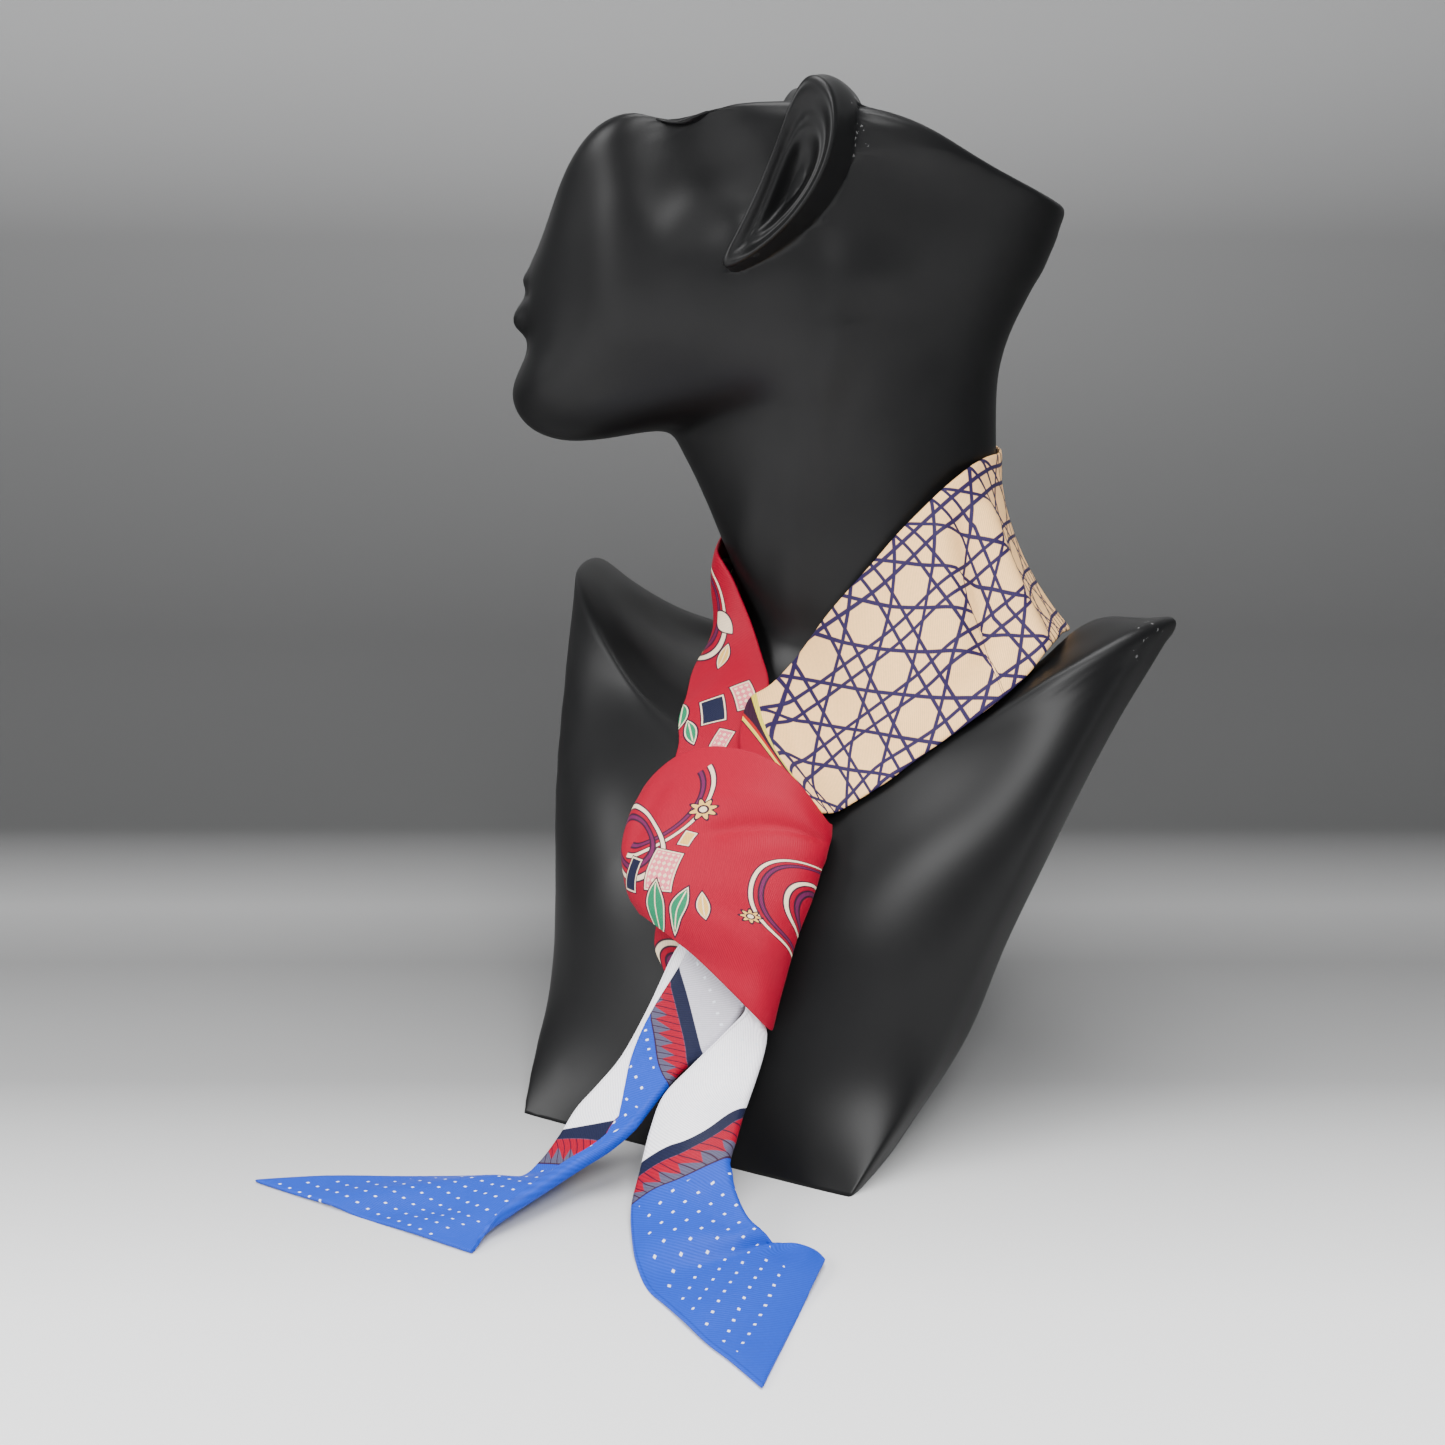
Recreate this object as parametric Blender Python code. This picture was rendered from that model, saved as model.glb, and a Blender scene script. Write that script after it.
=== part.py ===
"""A skinny silk scarf knotted round the neck of a limbless display bust. Metres, +Z up."""

import math

import bmesh
import bpy
from mathutils import Vector
from mathutils.bvhtree import BVHTree

MM = 0.001

# Bust: the neck's axis stands on this point of the base, and the torso faces -Y.
NECK_X = 0.0
NECK_Y = 70.0
RING_POINTS = 40
RING_STEPS = 2
HEAD_TURN = 62

# One row for each section of the bust, from the base up, in millimetres.
# turn is how far the section's front is turned to the right, in degrees.
# front, side and back are the section's points there, measured from the neck's axis,
# rim is the thickness of the edge, full how square the section is, and fall_front and
# fall_back shape how the height runs from the side to the front and to the back.
BUST_COLUMNS = (
    "turn", "front_y", "front_z", "side_x", "side_y", "side_z", "back_y", "back_z",
    "rim", "full", "fall_front", "fall_back",
)
BUST_ROWS = (
    (0, -141, 0, 59, -136, 0, -16, 0, 8, 0.80, 2, 2),
    (0, -139, 9, 64, -120, 11, -14, 10, 10, 0.70, 2, 2),
    (0, -134, 24, 71, -93, 29, -8, 28, 13, 0.60, 2, 2),
    (0, -127, 41, 76, -77, 54, -1, 50, 14, 0.52, 2, 2),
    (0, -118, 58, 84, -64, 79, 6, 68, 14, 0.46, 2, 2),
    (0, -108, 75, 92, -50, 104, 14, 82, 14, 0.42, 2, 2),
    (0, -98, 90, 100, -31, 129, 21, 93, 13, 0.40, 2, 2),
    (0, -90, 100, 107, -13, 149, 26, 101, 10, 0.40, 2.2, 1.5),
    (0, -86, 105, 110, -8, 156, 29, 105, 6, 0.42, 2.4, 1.2),
    (0, -82, 109, 106, -10, 156, 32, 109, 7, 0.44, 2.4, 1.2),
    (0, -76, 113, 97, -16, 153, 36, 112, 7, 0.46, 2.2, 1.2),
    (0, -69, 118, 84, -21, 147, 40, 117, 7, 0.50, 2, 1.2),
    (2, -61, 124, 68, -20, 136, 43, 127, 7, 0.55, 2, 1.2),
    (5, -52, 132, 54, -14, 130, 44, 143, 6, 0.55, 2, 1.6),
    (12, -46, 143, 48, -8, 141, 44, 160, 0, 0.55, 2, 2),
    (28, -49, 157, 46, -4, 160, 43, 180, 0, 0.55, 2, 2),
    (44, -54, 172, 46, -4, 179, 42, 198, 0, 0.55, 2, 2),
    (56, -60, 188, 46, -6, 197, 41, 214, 0, 0.55, 2, 2),
    (62, -67, 202, 47, -8, 214, 41, 227, 0, 0.55, 2, 2),
    (62, -73, 209, 48, -12, 226, 43, 237, 0, 0.55, 2, 2),
    (62, -92, 206, 50, -18, 235, 46, 245, 0, 0.50, 1.6, 2),
    (62, -108, 205, 52, -23, 243, 49, 251, 0, 0.48, 1.5, 2),
    (62, -120, 210, 53, -26, 250, 52, 257, 0, 0.48, 1.5, 2),
    (62, -125, 220, 54, -27, 258, 55, 262, 0, 0.50, 1.6, 2),
    (62, -122, 231, 55, -27, 267, 57, 267, 0, 0.52, 2.0, 2),
    (62, -119, 242, 55, -26, 277, 59, 272, 0, 0.56, 2.6, 2),
    (62, -118, 253, 55, -25, 289, 60, 276, 0, 0.60, 3.4, 2),
    (62, -116, 263, 55, -24, 301, 61, 279, 0, 0.64, 4.2, 1.8),
    (62, -112, 275, 55, -24, 311, 61, 282, 0, 0.68, 5.5, 1.6),
    (62, -108, 280, 53, -24, 315, 57, 284, 0, 0.70, 7, 1.5),
    (62, -100, 278, 49, -23, 314, 50, 283, 0, 0.68, 6, 1.5),
    (62, -80, 269, 38, -20, 303, 38, 280, 0, 0.60, 3.5, 1.6),
    (62, -50, 266, 22, -15, 286, 18, 277, 0, 0.55, 2, 1.8),
)
CROWN = (62, -12, 278)

# Hollows and swellings: two ends of a line in millimetres (the head's are measured forward,
# to its left and up), how far it reaches, and how far it stands out, negative for a hollow.
# Those of the torso and the head are on both sides alike.
TORSO_FORMS = (
    ((44, -90, 92), (40, -104, 74), 30, 7),
    ((34, -90, 106), (58, -66, 128), 20, -4),
    ((0, -60, 126), (0, -72, 117), 12, -3),
    ((66, -15, 143), (52, -8, 140), 14, -4),
)
LEFT_FORMS = (
    ((92, -20, 153), (72, -26, 146), 15, 3.5),
    ((76, -13, 146), (86, -13, 150), 10, 7),
)
HEAD_FORMS = (
    ((122, 0, 247), (121, 7, 248), 6, 5.5),
    ((119, 0, 261), (118, 7, 261), 6, 3.0),
    ((120, 0, 236), (118, 12, 236), 7, -2.0),
    ((86, 44, 300), (88, 46, 262), 12, 2.5),
    ((104, 22, 296), (84, 42, 313), 9, 3.0),
    ((54, 54, 284), (68, 50, 308), 12, -6.0),
    ((67, 46, 314), (68, 42, 311), 8, -4.0),
    ((68, 44, 225), (80, 40, 218), 18, -2.5),
    ((10, 48, 262), (48, 30, 168), 8, 3.0),
    ((-2, 50, 312), (-12, 48, 308), 12, 3.0),
)

# The scarf: the cloth's two layers make one wall, and its width is the same all along.
WALL = 1.5
CLEARANCE = 0.8
FOLD_RADIUS = 1.4
ACROSS = 8
FOLD_STEPS = 7
FOLD_ARC = 4

# One row for each section of the loop round the neck, from the knot round the right side
# and the nape to the left side: the turn from the front to the left, the distance from the
# neck's axis and the height of its upper and of its lower edge, and how far it bows out.
LOOP_COLUMNS = ("top_turn", "top_r", "top_z", "low_turn", "low_r", "low_z", "bow")
LOOP_ROWS = (
    (-5, 90, 109, -15, 97, 105, 1),
    (-5, 82, 114, -19, 93, 109, 1),
    (-7, 72.5, 119, -21, 88.5, 114, 2),
    (-9, 63.5, 125, -25, 84, 119.5, 2),
    (-13, 56.5, 131, -30, 77, 125, 3),
    (-20, 52.5, 137, -38, 69, 130, 3.5),
    (-28, 51, 146, -46, 61.5, 134, 3.5),
    (-36, 51.5, 155, -53, 56.5, 136.5, 3),
    (-42, 53, 162, -59, 54, 138, 3),
    (-49, 55.5, 168, -66, 52, 139, 3),
    (-62, 53.5, 170, -80, 52, 138, 3),
    (-80, 51, 174, -96, 54, 136, 3),
    (-100, 49.5, 180, -112, 57, 136, 4),
    (-125, 48.5, 186, -130, 57, 137, 3),
    (-150, 48, 191, -150, 57, 139, 2),
    (-175, 47.5, 196, -172, 58, 141, 1),
    (-200, 46, 200, -195, 59, 142, -2),
    (-222, 44, 202, -220, 61.5, 141, -6),
    (-242, 42, 202.5, -242, 65, 140, -8),
    (-258, 42, 202.5, -261, 69.5, 144, -7),
    (-272, 42, 203, -279, 75, 148, -6),
    (-283, 43, 202.5, -288, 80.5, 149, -4),
    (-294, 44.8, 201, -296, 86, 148, -2),
    (-309, 46.7, 195, -303, 89.5, 142, -1),
    (-325, 49, 184, -312, 91.5, 134, 1),
    (-337, 50, 172, -320, 90, 125, 2),
    (-352, 50, 156, -327, 91, 118, 3),
    (-364, 50, 141, -333, 93.5, 111.5, 3),
    (-370, 58.5, 131, -339, 96, 105.5, 4),
    (-372, 67, 128, -342, 98.5, 103, 4),
    (-371, 72, 125, -344, 100, 103, 3),
    (-369, 77, 122, -346, 101, 103, 3),
    (-366, 84, 118, -349, 102, 103, 2),
    (-363, 89, 114, -352, 102.5, 103, 1),
)

# One row for each ring of the wrap of the knot, from the top down: its ends on the left
# and on the right of the picture, how far it stands out before and behind them, and how
# far its front is arched up between them.
KNOT_COLUMNS = (
    "left_x", "left_y", "left_z", "right_x", "right_y", "right_z", "front", "back", "arch",
)
KNOT_ROWS = (
    (-33.6, -32.5, 100.8, 31, -29.8, 101.1, 9, 6, 19),
    (-34.5, -38.8, 94, 32.8, -34.4, 97.7, 11, 7, 12),
    (-33.2, -44.8, 86.2, 33.1, -41, 91.4, 12, 8, 6),
    (-29.4, -49.1, 79.2, 33, -48.3, 82.8, 13, 8, 3),
    (-26.1, -51.7, 74.2, 31.1, -54.7, 72.7, 12, 9, 2),
    (-23.7, -52.8, 71.7, 29.8, -60.7, 59.7, 12, 9, 2),
    (-21.9, -53.5, 69.6, 28.9, -66.2, 46.5, 11, 9, 1.5),
)
KNOT_POINTS = 28
KNOT_SQUARE = 0.8
KNOT_FRONT = (0.44, -0.83, 0.33)
LOOP_STEPS = 2
LOOP_ACROSS = 6

# One row for each section of a tail, from the knot to its end: its left edge, the fold at
# its right, how much cloth is folded there, to which side in degrees, and how far it bows.
TAIL_COLUMNS = (
    "left_x", "left_y", "left_z", "right_x", "right_y", "right_z", "fold", "turn", "bow",
)
LEFT_TAIL_ROWS = (
    (-3.9, -49.7, 71.6, 15.9, -54.8, 60.3, 26, 180, 1),
    (-6.1, -53.6, 65.9, 15.2, -57.4, 55.3, 27, 180, 1),
    (-9, -57.7, 60.5, 15.7, -60.8, 50.8, 28, 180, 1),
    (-13.3, -66.1, 44.7, 8.5, -69.4, 38.8, 26, 180, 1),
    (-18, -74.4, 30.9, 2.1, -74.3, 30.9, 20.5, 180, 1),
    (-22.8, -81.1, 22.8, -1.6, -80.3, 24.6, 15.5, 180, 1),
    (-27.2, -86.5, 16.3, -3.6, -86.6, 19.8, 11.5, 180, 1),
    (-29.2, -93.4, 9.8, -3.7, -93.4, 17.6, 9, 180, 0.5),
    (-32, -100.6, 3.3, -7.5, -100.4, 13.3, 8.5, 180, 0.5),
    (-35, -108.8, 0.75, -12.6, -107.7, 9.8, 8, 180, 0),
    (-48, -115, 0.75, -17.5, -120, 6.9, 6.5, 180, 0),
    (-67.1, -124.4, 0.75, -22.1, -133.2, 4.3, 4.5, 140, 0),
    (-87.6, -134.7, 0.75, -25.1, -142.1, 2, 3, 70, 0),
    (-105.5, -147, 0.75, -25, -150, 0.75, 2, 0, 0),
)
RIGHT_TAIL_ROWS = (
    (16.3, -60.9, 59.7, 21.8, -61.3, 58.3, 2, -180, 0),
    (18.9, -63.9, 54.9, 23.8, -64.5, 52.1, 3, -180, 0),
    (20.6, -66.3, 51, 25.6, -66.2, 47.1, 4, -180, 0),
    (15.7, -67.2, 44.3, 26.7, -69.1, 41.1, 8, -180, 1),
    (6.9, -75.3, 33.1, 26.7, -75, 33.6, 15, -180, 2),
    (1.7, -82.8, 25.6, 26.5, -80.5, 27.6, 18, -180, 3),
    (1.7, -90.8, 18.5, 27.4, -88.1, 20.8, 16, -180, 3),
    (4.6, -102.5, 10.2, 29.6, -96.7, 16.5, 9, -180, 3),
    (7.8, -113.4, 3.3, 36.7, -105.1, 12.1, 3, -120, 2.5),
    (18.4, -129.7, 0.75, 44.6, -111, 8.7, 1.5, -50, 2),
    (29.2, -142.1, 0.75, 51.3, -111.9, 5.8, 1.5, -30, 1),
    (41.5, -149.5, 0.75, 56.6, -108.7, 3.9, 1.5, -20, 1),
    (56.3, -158.1, 0.75, 61.9, -108.1, 2.5, 1.5, -10, 0.5),
    (66.1, -162.6, 0.75, 65, -108.3, 1.5, 1.5, -5, 0.5),
    (79.1, -169.4, 0.75, 68, -110.2, 0.75, 1.5, 0, 0),
)
TUCK_ROWS = (
    (-17.6, -50.7, 70.5, -7.2, -51.3, 65.9, 1.5, 0, 0.5),
    (-18, -52.9, 64.4, -6.9, -53.3, 60.6, 1.5, 0, 0.5),
    (-17.3, -54.3, 59.6, -6.1, -54.8, 56, 1.5, 0, 0.5),
    (-15.2, -55.1, 56.3, -5.6, -55.6, 53, 1.5, 0, 0.5),
    (-12.9, -56.1, 53.1, -5.3, -56.2, 50.6, 1.5, 0, 0.3),
)

# The ear, in the head's own measures: the ends of its long line, how far its rear edge is
# turned out in degrees, how far its middle lies behind that line, and its half width.
EAR_TOP = (23, 64, 322)
EAR_LOBE = (52, 58, 266)
EAR_FLARE = 26
EAR_BEND = 6.5
EAR_HALF_WIDTH = 8.5
EAR_TAPER = 3.5
EAR_POINTS = 24
# Each row is one ring of the ear: its size against the outline, and how far it stands out.
EAR_ROWS = (
    (1.00, -26), (1.14, -12), (1.08, -6), (1.00, -1), (1.00, 1.5), (0.92, 2.6),
    (0.80, 1.6), (0.68, -0.6), (0.54, 0.4), (0.38, -3.5), (0.18, -5.0),
)


def clear_scene():
    for found in list(bpy.data.objects):
        bpy.data.objects.remove(found)


def finish(name, colour, roughness, metallic=0.0):
    """A material for one sub-part."""
    made = bpy.data.materials.new(name)
    made.use_nodes = True
    shader = made.node_tree.nodes["Principled BSDF"]
    shader.inputs["Base Color"].default_value = (*colour, 1.0)
    shader.inputs["Roughness"].default_value = roughness
    shader.inputs["Metallic"].default_value = metallic
    return made


def spline(rows, steps):
    """The rows with steps - 1 smooth ones put between each two (a Catmull-Rom spline)."""
    last = len(rows) - 1
    made = []
    for i in range(last):
        a, b, c, d = (rows[max(0, min(last, i + k))] for k in (-1, 0, 1, 2))
        for step in range(steps):
            t = step / steps
            made.append(tuple(
                q + 0.5 * t * (r - p + t * (2 * p - 5 * q + 4 * r - s + t * (3 * (q - r) + s - p)))
                for p, q, r, s in zip(a, b, c, d)
            ))
    made.append(tuple(rows[last]))
    return made


def turned(x, y, z, turn):
    """A point of a section, given from the neck's axis, in the bust's own frame."""
    angle = math.radians(turn)
    east = x * math.cos(angle) + y * math.sin(angle)
    north = y * math.cos(angle) - x * math.sin(angle)
    return Vector((NECK_X + east, NECK_Y + north, z)) * MM


def bezier(a, b, c, d, t):
    s = 1 - t
    return s * s * s * a + 3 * s * s * t * b + 3 * s * t * t * c + t * t * t * d


def section(row):
    """The points of one section of the bust, round from its front by the left side."""
    r = dict(zip(BUST_COLUMNS, row))
    quarter = RING_POINTS // 4
    half = []
    for i in range(2 * quarter + 1):
        before = i < quarter
        t = (i / quarter) if before else (2 * quarter - i) / quarter
        end_y, end_z = (r["front_y"], r["front_z"]) if before else (r["back_y"], r["back_z"])
        edge = r["side_y"] + (-0.5 if before else 0.5) * r["rim"]
        x = bezier(0, r["full"] * r["side_x"], r["side_x"], r["side_x"], t)
        y = bezier(end_y, end_y, edge + 0.45 * (end_y - edge), edge, t)
        fall = r["fall_front"] if before else r["fall_back"]
        level = abs(math.cos(0.5 * math.pi * t)) ** fall
        half.append((x, y, r["side_z"] + level * (end_z - r["side_z"])))
    other = [(-x, y, z) for x, y, z in reversed(half[1:-1])]
    return [turned(x, y, z, r["turn"]) for x, y, z in half + other]


def shaped(bm):
    """Moves the bust's points out or in at its forms."""
    lines = []
    for a, b, reach, out in TORSO_FORMS:
        for side in (1, -1):
            ends = [turned(side * x, y, z, 0) for x, y, z in (a, b)]
            lines.append((*ends, reach * MM, out * MM / (1 if a[0] else 2)))
    for a, b, reach, out in LEFT_FORMS:
        lines.append((*(turned(x, y, z, 0) for x, y, z in (a, b)), reach * MM, out * MM))
    for a, b, reach, out in HEAD_FORMS:
        for side in (1, -1):
            ends = [turned(side * x, -forward, z, HEAD_TURN) for forward, x, z in (a, b)]
            lines.append((*ends, reach * MM, out * MM / (1 if a[1] else 2)))
    bm.normal_update()
    moves = []
    for vert in bm.verts:
        total = 0.0
        for a, b, reach, out in lines:
            along = max(0.0, min(1.0, (vert.co - a).dot(b - a) / (b - a).length_squared))
            gap = (vert.co - a.lerp(b, along)).length / reach
            total += out * math.exp(-gap * gap)
        moves.append(vert.normal * total)
    for vert, move in zip(bm.verts, moves):
        vert.co += move


def loft(bm, rings):
    """Quads between closed rings of the same number of points."""
    made = [[bm.verts.new(p) for p in ring] for ring in rings]
    for low, high in zip(made, made[1:]):
        for i in range(len(low)):
            j = (i + 1) % len(low)
            bm.faces.new((low[i], low[j], high[j], high[i]))
    return made


def object_from(name, bm, material, smooth=True):
    mesh = bpy.data.meshes.new(name)
    bmesh.ops.recalc_face_normals(bm, faces=bm.faces)
    bm.to_mesh(mesh)
    bm.free()
    if material:
        mesh.materials.append(material)
    if smooth:
        mesh.shade_smooth()
    made = bpy.data.objects.new(name, mesh)
    bpy.context.scene.collection.objects.link(made)
    return made


def head_point(forward, left, up):
    return turned(left, -forward, up, HEAD_TURN)


def ear(side):
    """One ear as a solid of its own, sunk into the head."""
    top = head_point(EAR_TOP[0], side * EAR_TOP[1], EAR_TOP[2])
    lobe = head_point(EAR_LOBE[0], side * EAR_LOBE[1], EAR_LOBE[2])
    centre = top.lerp(lobe, 0.5)
    along = (top - lobe) / 2
    ahead = head_point(1, 0, 0) - head_point(0, 0, 0)
    left = head_point(0, side, 0) - head_point(0, 0, 0)
    flare = math.radians(EAR_FLARE)
    out = (left * math.cos(flare) + ahead * math.sin(flare)).normalized()
    across = along.cross(out).normalized()
    out = across.cross(along).normalized()
    if out.dot(left) < 0:
        out = -out
    rear = across if across.dot(ahead) > 0 else -across
    bm = bmesh.new()
    rings = []
    for size, height in EAR_ROWS:
        ring = []
        for i in range(EAR_POINTS):
            angle = 2 * math.pi * i / EAR_POINTS
            reach = math.cos(angle) * min(size, size ** 0.4)
            width = EAR_HALF_WIDTH + EAR_TAPER * math.cos(angle)
            half = math.copysign(abs(math.sin(angle)) ** 0.8, math.sin(angle)) * width * size
            back = EAR_BEND * (1 - min(1.0, reach * reach))
            ring.append(centre + along * reach + (across * half - rear * back + out * height) * MM)
        rings.append(ring)
    made = loft(bm, rings)
    bm.faces.new(list(reversed(made[0])))
    bm.faces.new(made[-1])
    return object_from("ear", bm, None)


def bust():
    bm = bmesh.new()
    rings = loft(bm, [section(row) for row in spline(BUST_ROWS, RING_STEPS)])
    bm.faces.new(list(reversed(rings[0])))
    top = bm.verts.new(turned(0, CROWN[1], CROWN[2], CROWN[0]))
    for i in range(RING_POINTS):
        bm.faces.new((rings[-1][i], rings[-1][(i + 1) % RING_POINTS], top))
    bmesh.ops.recalc_face_normals(bm, faces=bm.faces)
    shaped(bm)
    body = object_from("bust", bm, finish("bust", (0.012, 0.012, 0.013), 0.55))
    for side in (1, -1):
        other = ear(side)
        other.hide_render = True
        other.display_type = "WIRE"
        joined = body.modifiers.new("ear", "BOOLEAN")
        joined.operation = "UNION"
        joined.solver = "EXACT"
        joined.object = other
    return body


def ahead_of(rows, i):
    """The way along a stretch at its row i, from the rows' two edges."""
    low, high = rows[max(0, i - 1)], rows[min(len(rows) - 1, i + 1)]
    return (high[0] + high[1] - low[0] - low[1]).normalized()


def folded(left, right, along, fold, turn, bow):
    """The points across a section: from its left edge to its fold, and round it."""
    across = (right - left).normalized()
    out = along.cross(across).normalized()
    points = []
    for j in range(ACROSS + 1):
        t = j / ACROSS
        points.append(left.lerp(right, t) + out * (4 * t * (1 - t) * bow * MM))
    start = -math.atan2(4 * bow * MM, (right - left).length)
    end = math.copysign(min(abs(math.radians(turn)), fold / FOLD_RADIUS), turn)
    round_it = abs(end - start) * FOLD_RADIUS
    arc = min(fold, max(round_it, 0.7 * fold if abs(turn) < 180 else 0.0))
    steps = [arc / FOLD_ARC] * FOLD_ARC
    steps += [(fold - arc) / (FOLD_STEPS - FOLD_ARC)] * (FOLD_STEPS - FOLD_ARC)
    for j, step in enumerate(steps):
        a = start + (end - start) * min(1.0, (j + 0.5) / FOLD_ARC)
        points.append(points[-1] + (across * math.cos(a) + out * math.sin(a)) * (step * MM))
    return points


def clear_of(grid, tree, gap):
    """Moves a stretch's points out to the gap from a solid that they are nearer to."""
    for line in grid:
        for j, point in enumerate(line):
            near, normal, _, distance = tree.find_nearest(point)
            if (point - near).normalized().dot(normal) < -0.5:
                distance = -distance
            if distance < gap * MM:
                line[j] = near + normal * (gap * MM)


def cloth(name, grid, colour, closed=False, rests_on=()):
    """A wall of cloth with the given points as its middle: rows along, points across."""
    for tree in rests_on:
        clear_of(grid, tree, WALL / 2 + CLEARANCE)
    rows, count = len(grid), len(grid[0])

    def at(i, j):
        i = max(0, min(rows - 1, i))
        j = j % count if closed else max(0, min(count - 1, j))
        return grid[i][j]

    bm = bmesh.new()
    sides = []
    for way in (0.5, -0.5):
        side = []
        for i in range(rows):
            line = []
            for j in range(count):
                along = at(i + 1, j) - at(i - 1, j)
                across = at(i, j + 1) - at(i, j - 1)
                out = across.cross(along).normalized()
                point = grid[i][j] + out * (way * WALL * MM)
                point.z = max(point.z, 0.0)
                line.append(bm.verts.new(point))
            side.append(line)
        sides.append(side)
    front, back = sides
    wide = count if closed else count - 1
    for i in range(rows - 1):
        for j in range(wide):
            k = (j + 1) % count
            bm.faces.new((front[i][j], front[i][k], front[i + 1][k], front[i + 1][j]))
            bm.faces.new((back[i][j], back[i + 1][j], back[i + 1][k], back[i][k]))
    for j in range(wide):
        k = (j + 1) % count
        bm.faces.new((front[0][j], back[0][j], back[0][k], front[0][k]))
        bm.faces.new((front[-1][j], front[-1][k], back[-1][k], back[-1][j]))
    if not closed:
        for i in range(rows - 1):
            bm.faces.new((front[i][0], front[i + 1][0], back[i + 1][0], back[i][0]))
            bm.faces.new((front[i][-1], back[i][-1], back[i + 1][-1], front[i + 1][-1]))
    return object_from(name, bm, finish(name, colour, 0.6))


def neck_loop(bust_tree):
    grid = []
    for row in spline(LOOP_ROWS, LOOP_STEPS):
        r = dict(zip(LOOP_COLUMNS, row))
        top, low = (
            turned(0, -r[edge + "_r"], r[edge + "_z"], -r[edge + "_turn"])
            for edge in ("top", "low")
        )
        out = ((top + low) / 2 - Vector((NECK_X, NECK_Y, 0)) * MM) * Vector((1, 1, 0))
        across = (low - top).normalized()
        out = (out - out.dot(across) * across).normalized()
        grid.append([
            top.lerp(low, j / LOOP_ACROSS)
            + out * (4 * (j / LOOP_ACROSS) * (1 - j / LOOP_ACROSS) * r["bow"] * MM)
            for j in range(LOOP_ACROSS + 1)
        ])
    return cloth("neck_loop", grid, (0.55, 0.40, 0.26), rests_on=[bust_tree])


def knot_wrap(bust_tree):
    towards = Vector(KNOT_FRONT).normalized()
    grid = []
    for row in spline(KNOT_ROWS, 2):
        r = dict(zip(KNOT_COLUMNS, row))
        left = Vector((r["left_x"], r["left_y"], r["left_z"])) * MM
        right = Vector((r["right_x"], r["right_y"], r["right_z"])) * MM
        half = (right - left) / 2
        out = (towards - towards.dot(half.normalized()) * half.normalized()).normalized()
        up = out.cross(half).normalized()
        ring = []
        for j in range(KNOT_POINTS):
            c, d = (f(2 * math.pi * j / KNOT_POINTS) for f in (math.cos, math.sin))
            reach = math.copysign(abs(c) ** KNOT_SQUARE, c)
            depth = math.copysign(abs(d) ** KNOT_SQUARE, d) * (r["front"] if d > 0 else r["back"])
            rise = r["arch"] * max(0.0, d) ** 2
            ring.append((left + right) / 2 - half * reach + (out * depth + up * rise) * MM)
        grid.append(ring)
    return cloth("knot_wrap", grid, (0.55, 0.01, 0.02), closed=True, rests_on=[bust_tree])


def tail(name, rows, colour, bust_tree, steps=2):
    smooth = [dict(zip(TAIL_COLUMNS, row)) for row in spline(rows, steps)]
    edges = [
        tuple(Vector((r[e + "_x"], r[e + "_y"], r[e + "_z"])) * MM for e in ("left", "right"))
        for r in smooth
    ]
    grid = [
        folded(*edges[i], ahead_of(edges, i), r["fold"], r["turn"], r["bow"])
        for i, r in enumerate(smooth)
    ]
    return cloth(name, grid, colour, rests_on=[bust_tree])


def tree_of(body):
    bpy.context.view_layer.update()
    return BVHTree.FromObject(body, bpy.context.evaluated_depsgraph_get())


clear_scene()
form = tree_of(bust())
neck_loop(form)
knot_wrap(form)
tail("tail_left", LEFT_TAIL_ROWS, (0.03, 0.11, 0.55), form)
tail("tail_right", RIGHT_TAIL_ROWS, (0.03, 0.11, 0.55), form)
tail("knot_tuck", TUCK_ROWS, (0.35, 0.01, 0.02), form, steps=2)
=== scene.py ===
# %% [markdown]
# # A skinny scarf on a display bust
# A skinny scarf is a long strip of silk twill, sewn double, with slanted ends. It is wound
# once round the neck, and its ends go down through a loop of its own cloth.
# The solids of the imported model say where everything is. They are loaded first, and
# every piece below is fitted to them, in metres, with +Z up and the chest towards -Y.

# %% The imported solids
import math

import bmesh
import bpy
from mathutils import Matrix, Vector
from mathutils.bvhtree import BVHTree


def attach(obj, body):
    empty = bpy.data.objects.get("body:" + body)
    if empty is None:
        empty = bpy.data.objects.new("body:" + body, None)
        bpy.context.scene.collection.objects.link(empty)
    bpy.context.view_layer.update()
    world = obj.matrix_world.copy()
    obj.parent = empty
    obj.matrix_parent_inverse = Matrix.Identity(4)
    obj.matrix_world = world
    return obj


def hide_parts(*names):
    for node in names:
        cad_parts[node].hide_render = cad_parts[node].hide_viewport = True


MM = 0.001
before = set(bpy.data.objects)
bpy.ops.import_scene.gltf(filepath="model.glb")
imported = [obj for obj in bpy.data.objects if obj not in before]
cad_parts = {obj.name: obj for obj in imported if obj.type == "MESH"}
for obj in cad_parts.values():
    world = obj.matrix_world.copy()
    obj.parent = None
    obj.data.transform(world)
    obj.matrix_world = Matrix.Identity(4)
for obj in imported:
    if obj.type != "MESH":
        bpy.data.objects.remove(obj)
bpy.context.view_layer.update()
print("solids:", sorted(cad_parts))

# %% [markdown]
# ## Camera
# The camera stands a little above the shoulders, to the bust's left, and looks down.
# Its place and lens are set first, so that each piece can be judged from there.

# %% Camera
CAMERA_PLACE = (0.276, -0.561, 0.30)
LENS = 49.83
LOOKS_DOWN = 15.9
TURNED_LEFT = 28.0

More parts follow.
